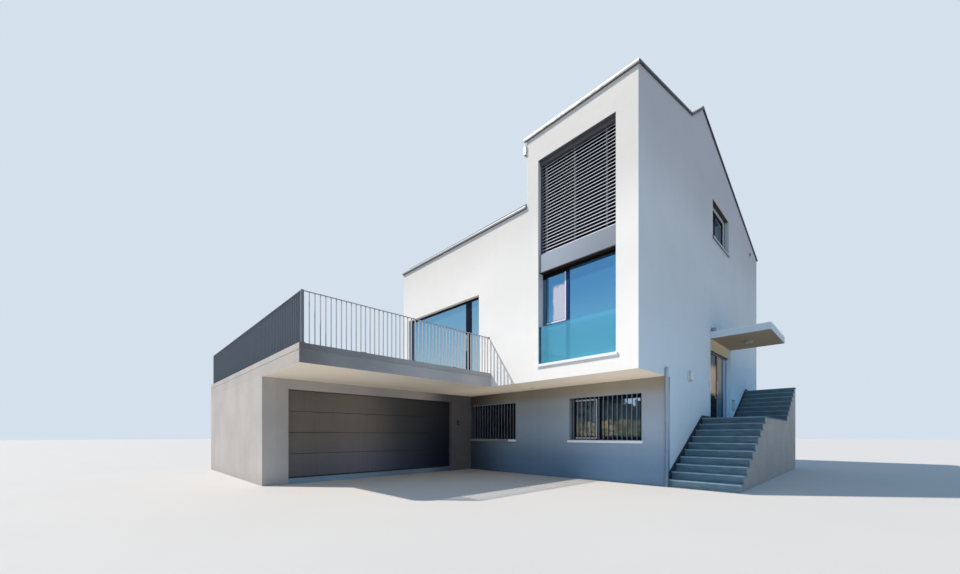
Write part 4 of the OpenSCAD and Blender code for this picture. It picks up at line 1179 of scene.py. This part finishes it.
    def bare_metals(self, c):
        """Gutters with a painted shade below their rims, the corner pipe with a painted shade at its
        foot, window bars with painted shade on their flanks, and small metal.
        """
        rims = sorted({round(float(high[2]), 4) for low, high in islands("gutters") if low[1] < 0})
        paint(bare_metal("bright_metal", c.bright, 0.42, 0.4), "door_handle")
        paint(bare_metal("gutter_metal", c.bright, 0.42, 0.4, rims), "gutters")
        paint(bare_metal("bar_metal", (0.50, 0.60, 0.72), 0.42, 0.3, flanks=0.2), "window_bars")
        paint(bare_metal("zinc", c.pipes, 0.45, 0.5, foot=(0.50, 0.62, 0.68)), "corner_downpipe")

    def coated_metals(self, c):
        """Pale edging, pipes with painted shade on their undersides, sills with painted shade low in
        the recess and in the gable, wall boxes.
        """
        coated_metal("edging", c.edging, 0.4, 0.0)
        # Painted shade on the pipes' undersides
        paint(coated_metal("pipe_coat", c.edging, 0.4, 0.1, below=shade(c.edging, 0.3)), "downpipes")
        # Painted shade: sills stay dark where x < -0.5, y < 0 and z < 2, and are darker in the gable
        sills = [("X", -0.5, c.sills), ("Y", 0.0, c.sills), ("Z", 2.0, c.sills),
                 ("X", GABLE_X - 0.18, shade(c.sills, 0.32))]
        paint(coated_metal("sill_coat", shade(c.sills, 0.3), 0.4, 0.0, steps=sills), "window_sills")
        boxes = [("X", 0.0, (0.60, 0.68, 0.76)), ("Z", 3.5, (0.26, 0.28, 0.31))]
        paint(coated_metal("fitting_coat", (0.02, 0.02, 0.022), 0.4, 0.1, steps=boxes), "wall_fittings")

    def frames(self, c):
        """Window frames, bluer in the tower as a painted reflection of the sky and near black at the
        head under the panel as painted shade; the blind with painted shade on its slats' tops, and
        the panel under it with a painted shade across it.
        """
        paint(coated_metal("dark_metal", c.dark, 0.4, 0.0, 0.004, 0.06), "terrace_door_frame",
              "window_frames")
        # The head covers' dark brown coat is painted shade under the window heads
        coated_metal("head_coat", (0.070, 0.058, 0.040), 0.6, 0.0, 0.01)
        coated_metal("drip_coat", (0.030, 0.022, 0.018), 0.5, 0.0, 0.004, 0.2)
        low, high = limits("spandrel_panel")
        first_sash = min(panes("tower_glass"), key=lambda pane: pane.low[0] + pane.low[2])
        # Painted reflection and shade: blue past the first sash, near black at the head under the panel
        parts = [("X", first_sash.low[0] + 0.04, c.tower_dark),
                 ("Z", high[2] - 0.6, (0.006, 0.005, 0.004))]
        paint(coated_metal("tower_frame_coat", (0.09, 0.16, 0.22), 0.4, 0.0, 0.004, 0.10, steps=parts),
              "tower_window_frames")
        paint(coated_metal("case_coat", c.case, 0.5, 0.1, 0.015), "blind_case")
        # Painted shade on the slats' upper faces
        paint(coated_metal("slat_metal", c.slats, 0.65, 0.1, gloss=0.3, tops=(0.55, 0.56, 0.58)),
              "blind_slats")
        # The panel's gradient along X is painted shade
        paint(folded_sheet("panel_metal", c.panel, low[0], high[0]), "spandrel_panel")

    def entrance(self, c):
        """Canopy in a cool painted shade with a darker, warm underside of painted shade and bounce
        light, door frame with a pale stile of painted light, leaf with a painted warm reflection and
        the sidelight with a painted reflection and bands of painted shade and light.
        """
        # Painted shade: the canopy's cool colour and its darker, warm underside
        paint(mineral_render("canopy_render", (0.66, 0.765, 0.825), (0.465, 0.350, 0.22)), "entry_canopy")
        high = limits("entry_sidelight")[1]
        # Painted light: a pale blue stile past the sidelight's edge
        parts = [("Y", high[1] - 0.03, (0.50, 0.70, 0.96)), ("Z", high[2] + 0.01, c.dark)]
        paint(coated_metal("entry_frame_coat", (0.22, 0.21, 0.17), 0.4, 0.0, 0.004, 0.06, steps=parts),
              "entry_frame")
        leaf_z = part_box("entry_door")[0][2]
        # Painted reflection: a warm band across the leaf
        paint(leaf_coat("leaf_coat", (0.004, 0.008, 0.028), (0.92, 0.52, 0.27), leaf_z + 0.85,
                        leaf_z + 1.95), "entry_door")
        # Painted shade and light on the sidelight: a near-black band, then a pale blue one
        bands = [(high[1] - 0.56, (0.002, 0.010, 0.022)), (high[1] - 0.34, (0.33, 0.50, 0.66))]
        paint(satin_glass("satin_glass", (0.018, 0.14, 0.29), (0.30, 0.26, 0.19), 2.3, 3.5, bands),
              "entry_sidelight")

    def steps(self, c):
        """Slate treads, stair bodies with a bare concrete side, and the skirting."""
        # The noses' factor is painted light on the treads' fronts
        paint(stone("slate_steps", c.slate, noses=(2.30, 2.10, 1.95)), "stair_treads")
        body_edge = (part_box("stair_landing")[1][0], shade(c.concrete, 0.8))
        paint(stone("stair_body_stone", c.slate, edge=body_edge), "lower_stair", "stair_landing",
              "upper_stair")
        paint(stone("skirting_stone", c.skirting, 0.7), "stair_skirting")

    def glass(self, c):
        """Coated panes with painted reflections; those behind the blind are nearly black, a painted
        shade.
        """
        # Painted shade behind the blind
        blind = (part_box("spandrel_panel")[1][2], (0.004, 0.008, 0.015))
        paint(coated_glass("tower_glass", (0.20, 0.54, 0.73), (0.11, 0.34, 0.62), 3.6, 5.2,
                           blind=blind, reflection=reflected_patch), "tower_glass")
        paint(coated_glass("terrace_glass", (0.45, 0.65, 0.72), (0.22, 0.47, 0.67), 3.2, 5.4),
              "terrace_door_glass")
        paint(coated_glass("window_glass", (0.018, 0.028, 0.04), (0.10, 0.17, 0.23), 1.8, 3.8, 0.6,
                           reflection=reflected_bands), "window_glass")
        paint(coated_glass("balustrade_glass", (0.15, 0.60, 0.76), (0.14, 0.54, 0.74), 3.0, 4.1, 0.3,
                           0.38), "glass_balustrade")

    def small_parts(self, c):
        """Lamp glass, darker by painted shade on the lamp under the canopy, and the rubber, mortar and
        tape of the added pieces.
        """
        # Painted shade: lamp glass above 3.5 m is darker and browner
        paint(opal_glass("lamp_glass", (0.66, 0.67, 0.67), 3.5, (0.40, 0.36, 0.28)), "lamps")
        rubber("seal_rubber", (0.012, 0.012, 0.013))
        screed("plug_mortar", (0.42, 0.30, 0.17))
        woven_tape("tape", (0.36, 0.37, 0.39))


class HOUSE_OT_roof(Operator):
    """Standing seams, ridge cap, valley sheet, flashings, verge trims and eave drips"""
    bl_idname = "house.roof"
    bl_label = "Roof sheets"

    def execute(self, context):
        s = context.scene.house_roof
        sheet = "roof_sheet"
        front, back, tower = (top_line(node) for node in
                              ("roof_cover_front", "roof_cover_back", "tower_roof_cover"))
        left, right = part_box("roof_cover_back")[0][0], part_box("roof_cover_back")[1][0]
        step, tower_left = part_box("roof_cover_front")[1][0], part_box("tower_roof_cover")[0][0]
        ridge, valley, clear = front[-1, 0], tower[-2, 0], tower[-3, 0]

        seam = self.seam_outline(s.seam_height)
        over_front = spaced(left, step, s.seam_pitch)[1:-1]
        over_tower = spaced(step, right, s.seam_pitch)[:-1]
        over_back = spaced(left, right, s.seam_pitch)[1:-1]
        seams = [
            repeated(along_roof(seam, front, 0.0), over_front[:, None] * X),
            repeated(along_roof(seam, trimmed(tower, tower[0, 0], valley - s.valley_reach), 0.0),
                     over_tower[1:, None] * X),
            repeated(along_roof(seam, trimmed(tower, valley + s.valley_reach, ridge), 0.0),
                     over_tower[:, None] * X),
            repeated(along_roof(seam, back, 0.0), over_back[:, None] * X)]
        make_piece("standing_seams", joined(seams), sheet)

        whole = np.vstack([front, back[1:]])
        cap = self.cap_outline(s, whole, ridge)
        make_piece("ridge_cap", along_x(cap, left, right), sheet)
        lining = self.lining_outline(tower, valley, s.valley_reach)
        make_piece("valley_sheet", along_x(lining, step, right), sheet)

        trims = [along_roof(self.trim_outline(s, 1), np.vstack([tower, back[1:]]), right),
                 along_roof(self.trim_outline(s, -1), whole, left),
                 along_roof(self.trim_outline(s, -1), trimmed(tower, tower[0, 0], clear), tower_left)]
        make_piece("verge_trims", joined(trims), "verge_coat")

        leaf = 0.004
        flashing = [(-s.upstand, 0), (-s.upstand, leaf), (-leaf, leaf), (-leaf, s.upstand), (0, s.upstand),
                    (0, 0)]
        stretch = trimmed(front, FRONT_Y + 4 * s.upstand, clear - 3 * s.upstand)
        make_piece("cheek_flashing", along_roof(flashing, stretch, step), sheet)

        drips = [along_x(self.drip_outline(front[0], front[1], -1), left, step),
                 along_x(self.drip_outline(tower[0], tower[1], -1), tower_left, right),
                 along_x(self.drip_outline(back[-1], back[-2], 1), left, right)]
        make_piece("eave_drips", joined(drips), sheet)
        return {"FINISHED"}

    def seam_outline(self, height, leaf=0.004, fold=0.010):
        """A double-lock seam: a thin upright leaf whose head is folded over to one side."""
        low = height * 0.5
        return [(-leaf / 2, -0.001), (-leaf / 2, low), (-fold, low), (-fold, height), (leaf, height),
                (leaf, -0.001)]

    def cap_outline(self, s, line, ridge):
        """A folded cap over the ridge that stands a little higher than the seams."""
        lift = s.seam_height + 0.006
        low, high = ridge - s.cap_reach, ridge + s.cap_reach
        return [on_line(line, low), on_line(line, low, lift), on_line(line, ridge, lift + 0.008),
                on_line(line, high, lift), on_line(line, high), on_line(line, ridge)]

    def lining_outline(self, line, valley, reach, thickness=0.004):
        """A sheet that follows both slopes of the valley."""
        places = [valley - reach, valley, valley + reach]
        return ([on_line(line, y, thickness) for y in places]
                + [on_line(line, y, -0.001) for y in reversed(places)])

    def trim_outline(self, s, side, leaf=0.004, hem=0.014):
        """An angle over the sheet's edge with a hem turned in below it."""
        foot = -s.trim_drop
        points = [(-s.trim_width, 0), (-s.trim_width, s.trim_height), (leaf, s.trim_height), (leaf, foot),
                  (-hem, foot), (-hem, foot + leaf), (0, foot + leaf), (0, 0)]
        return [(side * x, up) for x, up in points]

    def drip_outline(self, edge, upper, side, reach=0.07, leaf=0.003, drop=0.030, kick=0.004):
        """A bent strip at the eave: it lies on the sheet, drops before its edge and kicks outwards."""
        (y, z), grade = edge, (upper[1] - edge[1]) / abs(upper[0] - edge[0])
        points = [(-reach, grade * reach), (-reach, grade * reach + leaf), (leaf, leaf), (leaf, -drop),
                  (leaf + kick, -drop - kick), (kick, -drop - kick - leaf), (0, -drop), (0, 0)]
        return [(y + side * out, z + up) for out, up in points]


class HOUSE_OT_rainwater(Operator):
    """Straps across the gutters and sleeves on the rain pipes"""
    bl_idname = "house.rainwater"
    bl_label = "Rainwater"

    def execute(self, context):
        s = context.scene.house_rain
        lines = {"front": top_line("roof_cover_front"), "tower": top_line("tower_roof_cover"),
                 "back": top_line("roof_cover_back")[::-1]}
        straps = [self.straps(s, gutter, lines) for gutter in islands("gutters")]
        make_piece("gutter_straps", joined(straps), "bright_metal")
        make_piece("rain_pipe_sleeves", joined(self.sleeves(s, "downpipes", 0.025)), "edging",
                   smooth=True)
        make_piece("corner_pipe_sleeves", joined(self.sleeves(s, "corner_downpipe", 0.04)), "zinc",
                   smooth=True)
        hopper = min((box for box in islands("downpipes") if box[0][1] < 0), key=lambda box: box[0][0])
        top = hopper[1][2]
        front, width, depth = hopper[0][1], s.hopper_width, s.hopper_depth
        bead = [(0.004, -0.012), (-0.005, -0.012), (-0.005, 0.002), (0.004, 0.002)]
        rim = around((hopper[0][0], front, top), (hopper[0][0] + width, front + depth, top), X, Y, Z, bead)
        make_piece("hopper_rim", rim, "edging")
        return {"FINISHED"}

    def straps(self, s, gutter, lines, thickness=0.003):
        """Flat straps from the gutter's front rim to where the roof sheet reaches their height."""
        low, high = gutter
        rim = high[2]
        at_back = low[1] > 0
        line = lines["back" if at_back else "tower" if high[0] > GABLE_X - 0.01 else "front"]
        outer = high[1] if at_back else low[1]
        reach = [float(np.interp(z, line[:, 1], line[:, 0])) for z in (rim + thickness, rim)]
        outline = [(outer, rim), (outer, rim + thickness), (reach[0], rim + thickness), (reach[1], rim)]
        places = spaced(low[0], high[0], s.strap_pitch)
        places = (places[1:] + places[:-1]) / 2
        return repeated(along_x(outline, 0.0, s.strap_width), places[:, None] * X)

    def sleeves(self, s, node, radius, shortest=0.5):
        """Sleeves at even heights round each pipe that is longer than the shortest to have them."""
        rings = []
        for foot, solid in zip(pipe_feet(node), solids(node)):
            near = np.hypot(*(solid[:, :2] - foot[:2]).T) < radius + 0.002
            top = solid[near, 2].max() - s.sleeve_height
            if top - foot[2] < shortest:
                continue
            for z in np.arange(foot[2] + 0.02, top, s.sleeve_pitch):
                rings.append(sleeve(radius - 0.001, s.sleeve_wall, s.sleeve_height, (foot[0], foot[1], z)))
        return rings


class HOUSE_OT_glazing(Operator):
    """Seals round the panes, light cladding on the sashes, head covers and guide rails"""
    bl_idname = "house.glazing"
    bl_label = "Glazing"

    def execute(self, context):
        s = context.scene.house_glazing
        width, height = s.gasket_width, s.gasket_height
        seal = [(0, -0.001), (0, height), (width / 2, height), (width, height / 3), (width, -0.001)]
        for name, node in (("tower_seals", "tower_glass"), ("terrace_door_seals", "terrace_door_glass"),
                           ("window_seals", "window_glass"), ("sidelight_seals", "entry_sidelight")):
            shape = joined([pane.framed(seal) for pane in panes(node)])
            make_piece(name, shape, "seal_rubber")

        base, top = s.sash_stand - 0.0005, s.sash_stand + s.edging_height
        outer, inner = -s.edging_width - 0.004, -0.004
        cladding = [(outer, base), (outer, top), (inner, top), (inner, base)]
        panel_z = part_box("spandrel_panel")[0][2]
        in_tower = [p for p in panes("tower_glass") if s.fixed_z < p.low[2] < panel_z]
        sashes = [p.edged(cladding, False) for p in in_tower if p.width < s.sash_width]
        sashes += [p.edged(cladding) for p in panes("window_glass")
                   if p.width < s.sash_width and 0 < p.high[0] < GABLE_X - 0.2]
        make_piece("sash_cladding", joined(sashes), "edging")
        self.head_covers(s)
        return {"FINISHED"}

    def head_covers(self, s, sheet=0.003, nose=0.02):
        """Under each window's head a folded sheet from the frame to a nose at the wall's face, and on
        the upper windows light guide rails with dark lips round the reveal."""
        covers, rails, lips = [], [], []
        deep, lip = s.rail_depth, s.rail_depth + 0.014
        rail = [(0.005, 0), (0.005, deep), (0.018, deep), (0.018, 0)]
        edge = [(0.005, deep), (0.005, lip), (0.014, lip), (0.014, deep)]
        for box in islands("window_frames"):
            face = Pane(box)
            if face.width < 1.0:
                continue
            upper = face.low[2] > 2.0
            reach = s.reveal if upper else 0.12
            fold = [(0, 0), (reach, 0), (reach, -nose), (reach - sheet, -nose), (reach - sheet, -sheet),
                    (0, -sheet)]
            ends = [foot + (face.high[2] - 0.0005) * Z for foot in face.ends()[:2]]
            covers.append(carried(fold, ends, face.out, Z))
            if upper:
                rails.append(face.hooded(rail))
                lips.append(face.hooded(edge))
        # The head covers' dark coat is painted shade under the window heads
        make_piece("head_covers", joined(covers), "head_coat")
        make_piece("guide_rails", joined(rails), "edging")
        make_piece("guide_lips", joined(lips), "seal_rubber")


class HOUSE_OT_tower(Operator):
    """Ladder tapes of the blind, hood, drip edge under the panel and the balustrade's channels"""
    bl_idname = "house.tower"
    bl_label = "Tower window"

    def execute(self, context):
        s = context.scene.house_tower
        self.tapes(s)
        self.drip(s)
        self.channels(s)
        self.hood()
        return {"FINISHED"}

    def hood(self, sheet=0.003):
        """A sheet under the opening's head, from the blind's case to the wall's face."""
        low, high = limits("blind_case")
        front, z = FRONT_Y + 0.006, high[2] - 0.0005
        outline = [(low[1], z), (front, z), (front, z - 4 * sheet), (front + sheet, z - 4 * sheet),
                   (front + sheet, z - sheet), (low[1], z - sheet)]
        # The hood's dark coat is painted shade under the opening's head
        make_piece("tower_hood", along_x(outline, low[0], high[0]), "case_coat")

    def tapes(self, s, thickness=0.0015):
        """Upright woven tapes before and behind the slats, from the lower rail to the head box."""
        slats, opening = limits("blind_slats"), limits("glass_balustrade")
        low_z, high_z = limits("spandrel_panel")[1][2] + 0.02, slats[1][2] + 0.03
        shapes = []
        for number in range(s.tape_count):
            x = opening[0][0] + s.tape_first + number * s.tape_pitch
            for y in (slats[0][1] - thickness, slats[1][1]):
                shapes.append(slab([x - s.tape_width / 2, y, low_z],
                                   [x + s.tape_width / 2, y + thickness, high_z]))
        make_piece("blind_tapes", joined(shapes), "tape")

    def drip(self, s, plate=0.005, nose=0.010):
        """A folded sheet under the panel, from the window frame to a nose before the panel's face."""
        panel, frame_low = limits("spandrel_panel"), limits("tower_window_frames")[0]
        front, z = panel[0][1], panel[0][2] - 0.001
        outline = [(frame_low[1], z), (front - nose, z), (front - nose, z - s.drip_drop),
                   (front - nose + plate, z - s.drip_drop), (front - nose + plate, z - plate),
                   (frame_low[1], z - plate)]
        make_piece("panel_drip", along_x(outline, panel[0][0], panel[1][0]), "drip_coat")

    def channels(self, s, wall=0.004):
        """A U-shaped channel at each side of the balustrade, open towards the glass."""
        low, high = limits("glass_balustrade")
        middle, half = (low[1] + high[1]) / 2, s.channel_depth / 2
        gap = (high[1] - low[1]) / 2 + 0.001
        outline = np.array([(0, -half), (s.channel_width, -half), (s.channel_width, -gap), (wall, -gap),
                            (wall, gap), (s.channel_width, gap), (s.channel_width, half), (0, half)])
        shapes = [carried(outline, [(x, middle, low[2]), (x, middle, high[2])], side * X, Y)
                  for x, side in ((low[0], 1), (high[0], -1))]
        make_piece("balustrade_channels", joined(shapes), "dark_metal")


class HOUSE_OT_terrace(Operator):
    """The railing's posts, foot plates, bolts and wall fixing, and the terrace door's fittings"""
    bl_idname = "house.terrace"
    bl_label = "Terrace"

    def execute(self, context):
        s = context.scene.house_terrace
        low, high = limits("railing_front")
        floor_z, top_z = low[2], high[2]
        front = (low[1] + high[1]) / 2
        right, left = high[0] - (high[1] - low[1]) / 2, low[0] + (high[1] - low[1]) / 2
        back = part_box("railing_sides")[1][1] - (high[1] - low[1]) / 2
        rail = "front_rail_metal"

        corners = [(left, front), (right, front), (left, back)]
        posts = repeated(self.post(s, floor_z, top_z), [(x, y, 0) for x, y in corners])
        make_piece("railing_posts", posts, rail, bevel=0.003)

        along_front = spaced(left, right, s.plate_pitch)[1:-1]
        end_y = max(solid[:, 1].max() for solid in solids("railing_sides") if solid[:, 0].min() > 0)
        along_right = spaced(front, end_y, s.plate_pitch)[1:-1]
        along_left = spaced(front, back, s.plate_pitch)[1:-1]
        places = ([(x, front) for x in along_front] + [(right, y) for y in along_right]
                  + [(left, y) for y in along_left] + corners)
        top_of_rail = floor_z + 0.010
        plates = repeated(self.plate(s), [(x, y, top_of_rail) for x, y in places])
        make_piece("railing_plates", plates, rail)
        fixing = self.wall_fixing(s, right, end_y, top_z)
        make_piece("railing_knob", fixing, rail, smooth=True)
        self.door_fittings()
        return {"FINISHED"}

    def post(self, s, floor_z, top_z, cap=0.006):
        """A square post that stands as high as a cap over the handrail."""
        half = s.post / 2
        square = np.array([(-half, -half), (half, -half), (half, half), (-half, half)])
        origins = [(0, 0, floor_z), (0, 0, top_z + cap)]
        return carried(square, origins, X, Y)

    def plate(self, s, bolt=0.011, washer=0.016):
        """A square foot plate with four hexagonal bolts on washers."""
        half, t = s.plate_size / 2, s.plate_thickness
        body = slab([-half, -half, 0], [half, half, t])
        head = turned_solid([(bolt, 0.003), (bolt, 0.011)], (0, 0, t), Z, 6)
        ring = turned_solid([(washer, 0), (washer, 0.003)], (0, 0, t), Z, 12)
        off = half - washer - 0.004
        corners = [(x, y, 0) for x in (-off, off) for y in (-off, off)]
        return joined([body, repeated(joined([head, ring]), corners)])

    def wall_fixing(self, s, x, end_y, top_z):
        """A ball at the handrail's end, on a short rod from a round plate on the wall."""
        reach = FRONT_Y - end_y
        turn = np.linspace(-math.pi / 2, math.pi / 2, 9)
        ball = np.column_stack([s.knob * np.cos(turn), s.knob * np.sin(turn)])
        rod = [(0.0095, s.knob), (0.0095, reach - 0.006), (0.030, reach - 0.006), (0.032, reach - 0.004),
               (0.032, reach), (CORE, reach)]
        profile = np.vstack([[CORE, -s.knob], ball[1:-1], rod])
        return turned(profile, (x, end_y, top_z - 0.005), Y, 24)

    def door_fittings(self):
        """A pull handle on the wide post and a threshold strip before the frame."""
        low, high = limits("terrace_door_frame")
        wide = max(panes("terrace_door_glass"), key=lambda pane: pane.width)
        x, face = float(wide.high[0]) + 0.075, low[1]
        bar = turned_solid([(0.011, 0), (0.013, 0.004), (0.013, 0.496), (0.011, 0.50)],
                           (x, face - 0.05, low[2] + 0.85), Z, 20)
        feet = [turned_solid([(0.016, 0), (0.016, 0.004), (0.008, 0.006), (0.008, 0.05)],
                             (x, face, low[2] + z), -Y, 20) for z in (0.92, 1.28)]
        make_piece("terrace_handle", joined([bar, *feet]), "bright_metal",
                   smooth=True)
        front = FRONT_Y + 0.015
        strip = [(face, low[2] + 0.0005), (face, low[2] + 0.022), (front + 0.01, low[2] + 0.012),
                 (front, low[2] + 0.006), (front, low[2] + 0.0005)]
        make_piece("terrace_threshold", along_x(strip, low[0], high[0]), "bright_metal")


class HOUSE_OT_entrance(Operator):
    """Threshold, seals and lock of the entrance door, the canopy's capping, lamps and wall boxes"""
    bl_idname = "house.entrance"
    bl_label = "Entrance"

    def execute(self, context):
        s = context.scene.house_entrance
        self.door_parts(s)
        self.capping(s)
        self.lamp_parts(s)
        self.small_boxes()
        return {"FINISHED"}

    def door_parts(self, s, leaf_gap=0.009, seal_width=0.012):
        """The threshold and the seals between jamb and mullion, and the lock's rosette on the leaf."""
        frame_low, frame_high = limits("entry_frame")
        leaf_low, leaf_high = limits("entry_door")
        light_low = limits("entry_sidelight")[0]
        jamb_y, post_y = leaf_low[1] - leaf_gap, light_low[1] - 0.06
        z0 = frame_low[2]
        face = leaf_high[0]
        strip = [(face - 0.060, z0), (face - 0.054, z0 + s.threshold_height),
                 (frame_high[0] + 0.03, z0 + s.threshold_height), (frame_high[0] + 0.035, z0)]
        make_piece("entry_threshold", along_y(strip, jamb_y, post_y), "bright_metal")

        seal = [(-0.012, 0), (0, 0), (0, 0.002), (-0.006, 0.0042), (-0.012, 0.002)]
        near = (jamb_y + seal_width, z0)
        far = (post_y - seal_width, leaf_high[2] + leaf_gap - seal_width)
        make_piece("entry_seals", over_opening(seal, frame_high[0] - 0.020, near, far, -X), "seal_rubber")

        r = s.rosette
        lock = [(r, 0), (r, 0.005), (r - 0.004, 0.009), (0.010, 0.009), (0.010, 0.013)]
        place = (face, leaf_high[1] - 0.066, z0 + 0.72)
        make_piece("entry_lock", turned_solid(lock, place, X), "bright_metal",
                   body=LEAF, smooth=True)

    def capping(self, s, leaf=0.003):
        """A metal angle on the canopy's upper edges, carried round its top."""
        low, high = limits("entry_canopy")
        top = high[2]
        angle = [(-leaf, -s.capping_drop), (-leaf, leaf), (s.capping_width, leaf),
                 (s.capping_width, 0), (0, 0), (0, -s.capping_drop)]
        shape = around((low[0] + 0.004, low[1], top), (high[0], high[1], top), X, Y, Z, angle)
        make_piece("canopy_capping", shape, "edging")

    def lamp_parts(self, s):
        """A ring round the foot of each lamp, a shallow dome on its glass and the soffit's spot."""
        rings, domes = [], []
        for low, high in islands("lamps"):
            thin = int(np.argmin(high - low))
            axis = X if thin == 0 else -Z
            radius = (high - low)[1] / 2
            depth = (high - low)[thin]
            foot = (low + high) / 2
            foot[thin] = low[0] if thin == 0 else high[2]
            rings.append(turned([(radius - 0.002, 0), (radius + s.ring_width, 0),
                                 (radius + s.ring_width, depth * 0.35), (radius, depth * 0.46),
                                 (radius - 0.006, depth * 0.42)], foot, axis, 48))
            turn = np.linspace(0, math.pi / 2, 7)
            glass = radius * 0.85
            dome = np.column_stack([glass * np.cos(turn), depth + 0.10 * glass * np.sin(turn)])
            rim = [[glass, depth - 0.002]]
            domes.append(turned_solid(np.vstack([rim, dome[:-1]]), foot, axis, 48, dome[-1, 1]))
        make_piece("lamp_rings", joined(rings), "fitting_coat", smooth=True)
        make_piece("lamp_domes", joined(domes), "lamp_glass", smooth=True)

        soffit_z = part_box("living_floor")[0][2]
        spot = (0.79, -4.91, soffit_z)
        ring = turned([(0.036, 0), (0.052, 0), (0.052, 0.003), (0.046, 0.006), (0.036, 0.004)], spot, -Z)
        lens = turned_solid([(0.037, 0.0), (0.037, 0.002)], spot, -Z, crown=0.003)
        make_piece("soffit_spot_ring", ring, "bright_metal", smooth=True)
        make_piece("soffit_spot_lens", lens, "seal_rubber", smooth=True)

    def small_boxes(self):
        """The intercom's speaker slots and button, and the key switch's cylinder."""
        boxes = islands("wall_fittings")
        switch = min(boxes, key=lambda box: box[0][0])
        intercom = min((box for box in boxes if box[0][0] > 4), key=lambda box: box[0][2])
        low, high = intercom
        middle = (low + high) / 2
        slot = slab([high[0], middle[1] - 0.028, 0], [high[0] + 0.001, middle[1] + 0.028, 0.004])
        slots = repeated(slot, [(0, 0, high[2] - 0.045 - 0.012 * n) for n in range(5)])
        button = turned_solid([(0.014, 0), (0.013, 0.004)], (high[0], middle[1], low[2] + 0.055), X, 24,
                              crown=0.005)
        key = (switch[0] + switch[1]) / 2
        cylinder = turned_solid([(0.019, 0), (0.018, 0.006), (0.009, 0.007), (0.008, 0.004)],
                                (switch[1][0], key[1], key[2]), X, 24)
        make_piece("intercom_slots", slots, "panel_metal")
        make_piece("wall_buttons", joined([button, cylinder]), "bright_metal",
                   smooth=True)


class HOUSE_OT_garage(Operator):
    """Seals round the garage door and plugs in the concrete's tie holes"""
    bl_idname = "house.garage"
    bl_label = "Garage wing"

    def execute(self, context):
        s = context.scene.house_garage
        self.seals(s)
        self.plugs(s)
        return {"FINISHED"}

    def seals(self, s, out=0.006):
        """A strip at both sides and the head, a thicker one at the foot and thin ones in the joints."""
        low, high = limits("garage_door")
        face = high[0]
        width = s.seal_width
        edge = [(0, 0), (width, 0), (width, out / 2), (0, out)]
        frame_seal = over_opening(edge, face, low[1:], high[1:], X)
        foot = [(face - 0.004, low[2]), (face + 0.008, low[2]), (face + 0.008, low[2] + s.foot_seal),
                (face - 0.004, low[2] + s.foot_seal + 0.006)]
        foot_seal = along_y(foot, low[1], high[1])
        heights = np.sort(islands("garage_door")[:, 1, 2])[:-1]
        joint = along_y([(face - 0.010, -0.004), (face - 0.004, -0.004), (face - 0.004, 0.004),
                         (face - 0.010, 0.004)], low[1], high[1])
        joints = repeated(joint, heights[:, None] * Z)
        make_piece("garage_seals", joined([frame_seal, foot_seal, joints]), "seal_rubber")

    def plugs(self, s):
        """Mortar plugs at two heights, a joint pitch apart, across the front wall and the left wall."""
        low = limits("garage_front_wall")[0]
        heights = (s.plug_low, s.plug_high)
        step = s.joint_pitch
        places = [(x, low[1], z) for x in np.arange(s.joint_x, low[0] + 0.2, -step) for z in heights]
        front = repeated(self.plug(s, -Y), places)
        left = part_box("garage_left_wall")
        side = [(left[0][0], y, z) for y in np.arange(left[0][1] + 0.4, left[1][1], step) for z in heights]
        make_piece("tie_hole_plugs", joined([front, repeated(self.plug(s, -X), side)]),
                   "plug_mortar", smooth=True)

    def plug(self, s, axis):
        """A flat mortar cone, set a little into the wall."""
        r = s.plug_radius
        profile = [(r, -0.002), (r, 0.0005), (r * 0.75, 0.002)]
        return turned_solid(profile, (0, 0, 0), axis, 20, crown=0.0015)


class HOUSE_OT_stairs(Operator):
    """The treads with eased edges"""
    bl_idname = "house.stairs"
    bl_label = "Stairs"

    def execute(self, context):
        eased_copy("stair_treads", "eased_treads", "slate_steps", 0.005)
        return {"FINISHED"}


class HOUSE_PT_panel(Panel):
    """Buttons for the house's pieces in the 3D view's sidebar"""
    bl_idname = "HOUSE_PT_panel"
    bl_label = "House"
    bl_space_type = "VIEW_3D"
    bl_region_type = "UI"
    bl_category = "House"

    def draw(self, context):
        for operator in OPERATORS:
            self.layout.operator(operator.bl_idname)
        for name in SETTINGS:
            settings = getattr(context.scene, name)
            box = self.layout.box()
            for key in settings.__annotations__:
                box.prop(settings, key)


SETTINGS = {"house_stage": StageSettings, "house_finish": FinishSettings, "house_roof": RoofSettings,
            "house_rain": RainSettings, "house_glazing": GlazingSettings, "house_tower": TowerSettings,
            "house_terrace": TerraceSettings, "house_entrance": EntranceSettings,
            "house_garage": GarageSettings}
OPERATORS = [HOUSE_OT_stage, HOUSE_OT_finishes, HOUSE_OT_roof, HOUSE_OT_rainwater, HOUSE_OT_glazing,
             HOUSE_OT_tower, HOUSE_OT_terrace, HOUSE_OT_entrance, HOUSE_OT_garage, HOUSE_OT_stairs]


def register():
    for settings in SETTINGS.values():
        bpy.utils.register_class(settings)
    for name, settings in SETTINGS.items():
        setattr(bpy.types.Scene, name, PointerProperty(type=settings))
    for made in [*OPERATORS, HOUSE_PT_panel]:
        bpy.utils.register_class(made)


def unregister():
    for made in [HOUSE_PT_panel, *reversed(OPERATORS)]:
        bpy.utils.unregister_class(made)
    for name in SETTINGS:
        delattr(bpy.types.Scene, name)
    for settings in reversed(SETTINGS.values()):
        bpy.utils.unregister_class(settings)


def main():
    register()
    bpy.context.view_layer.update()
    for operator in OPERATORS:
        group, name = operator.bl_idname.split(".")
        getattr(getattr(bpy.ops, group), name)()


if __name__ == "__main__":
    main()
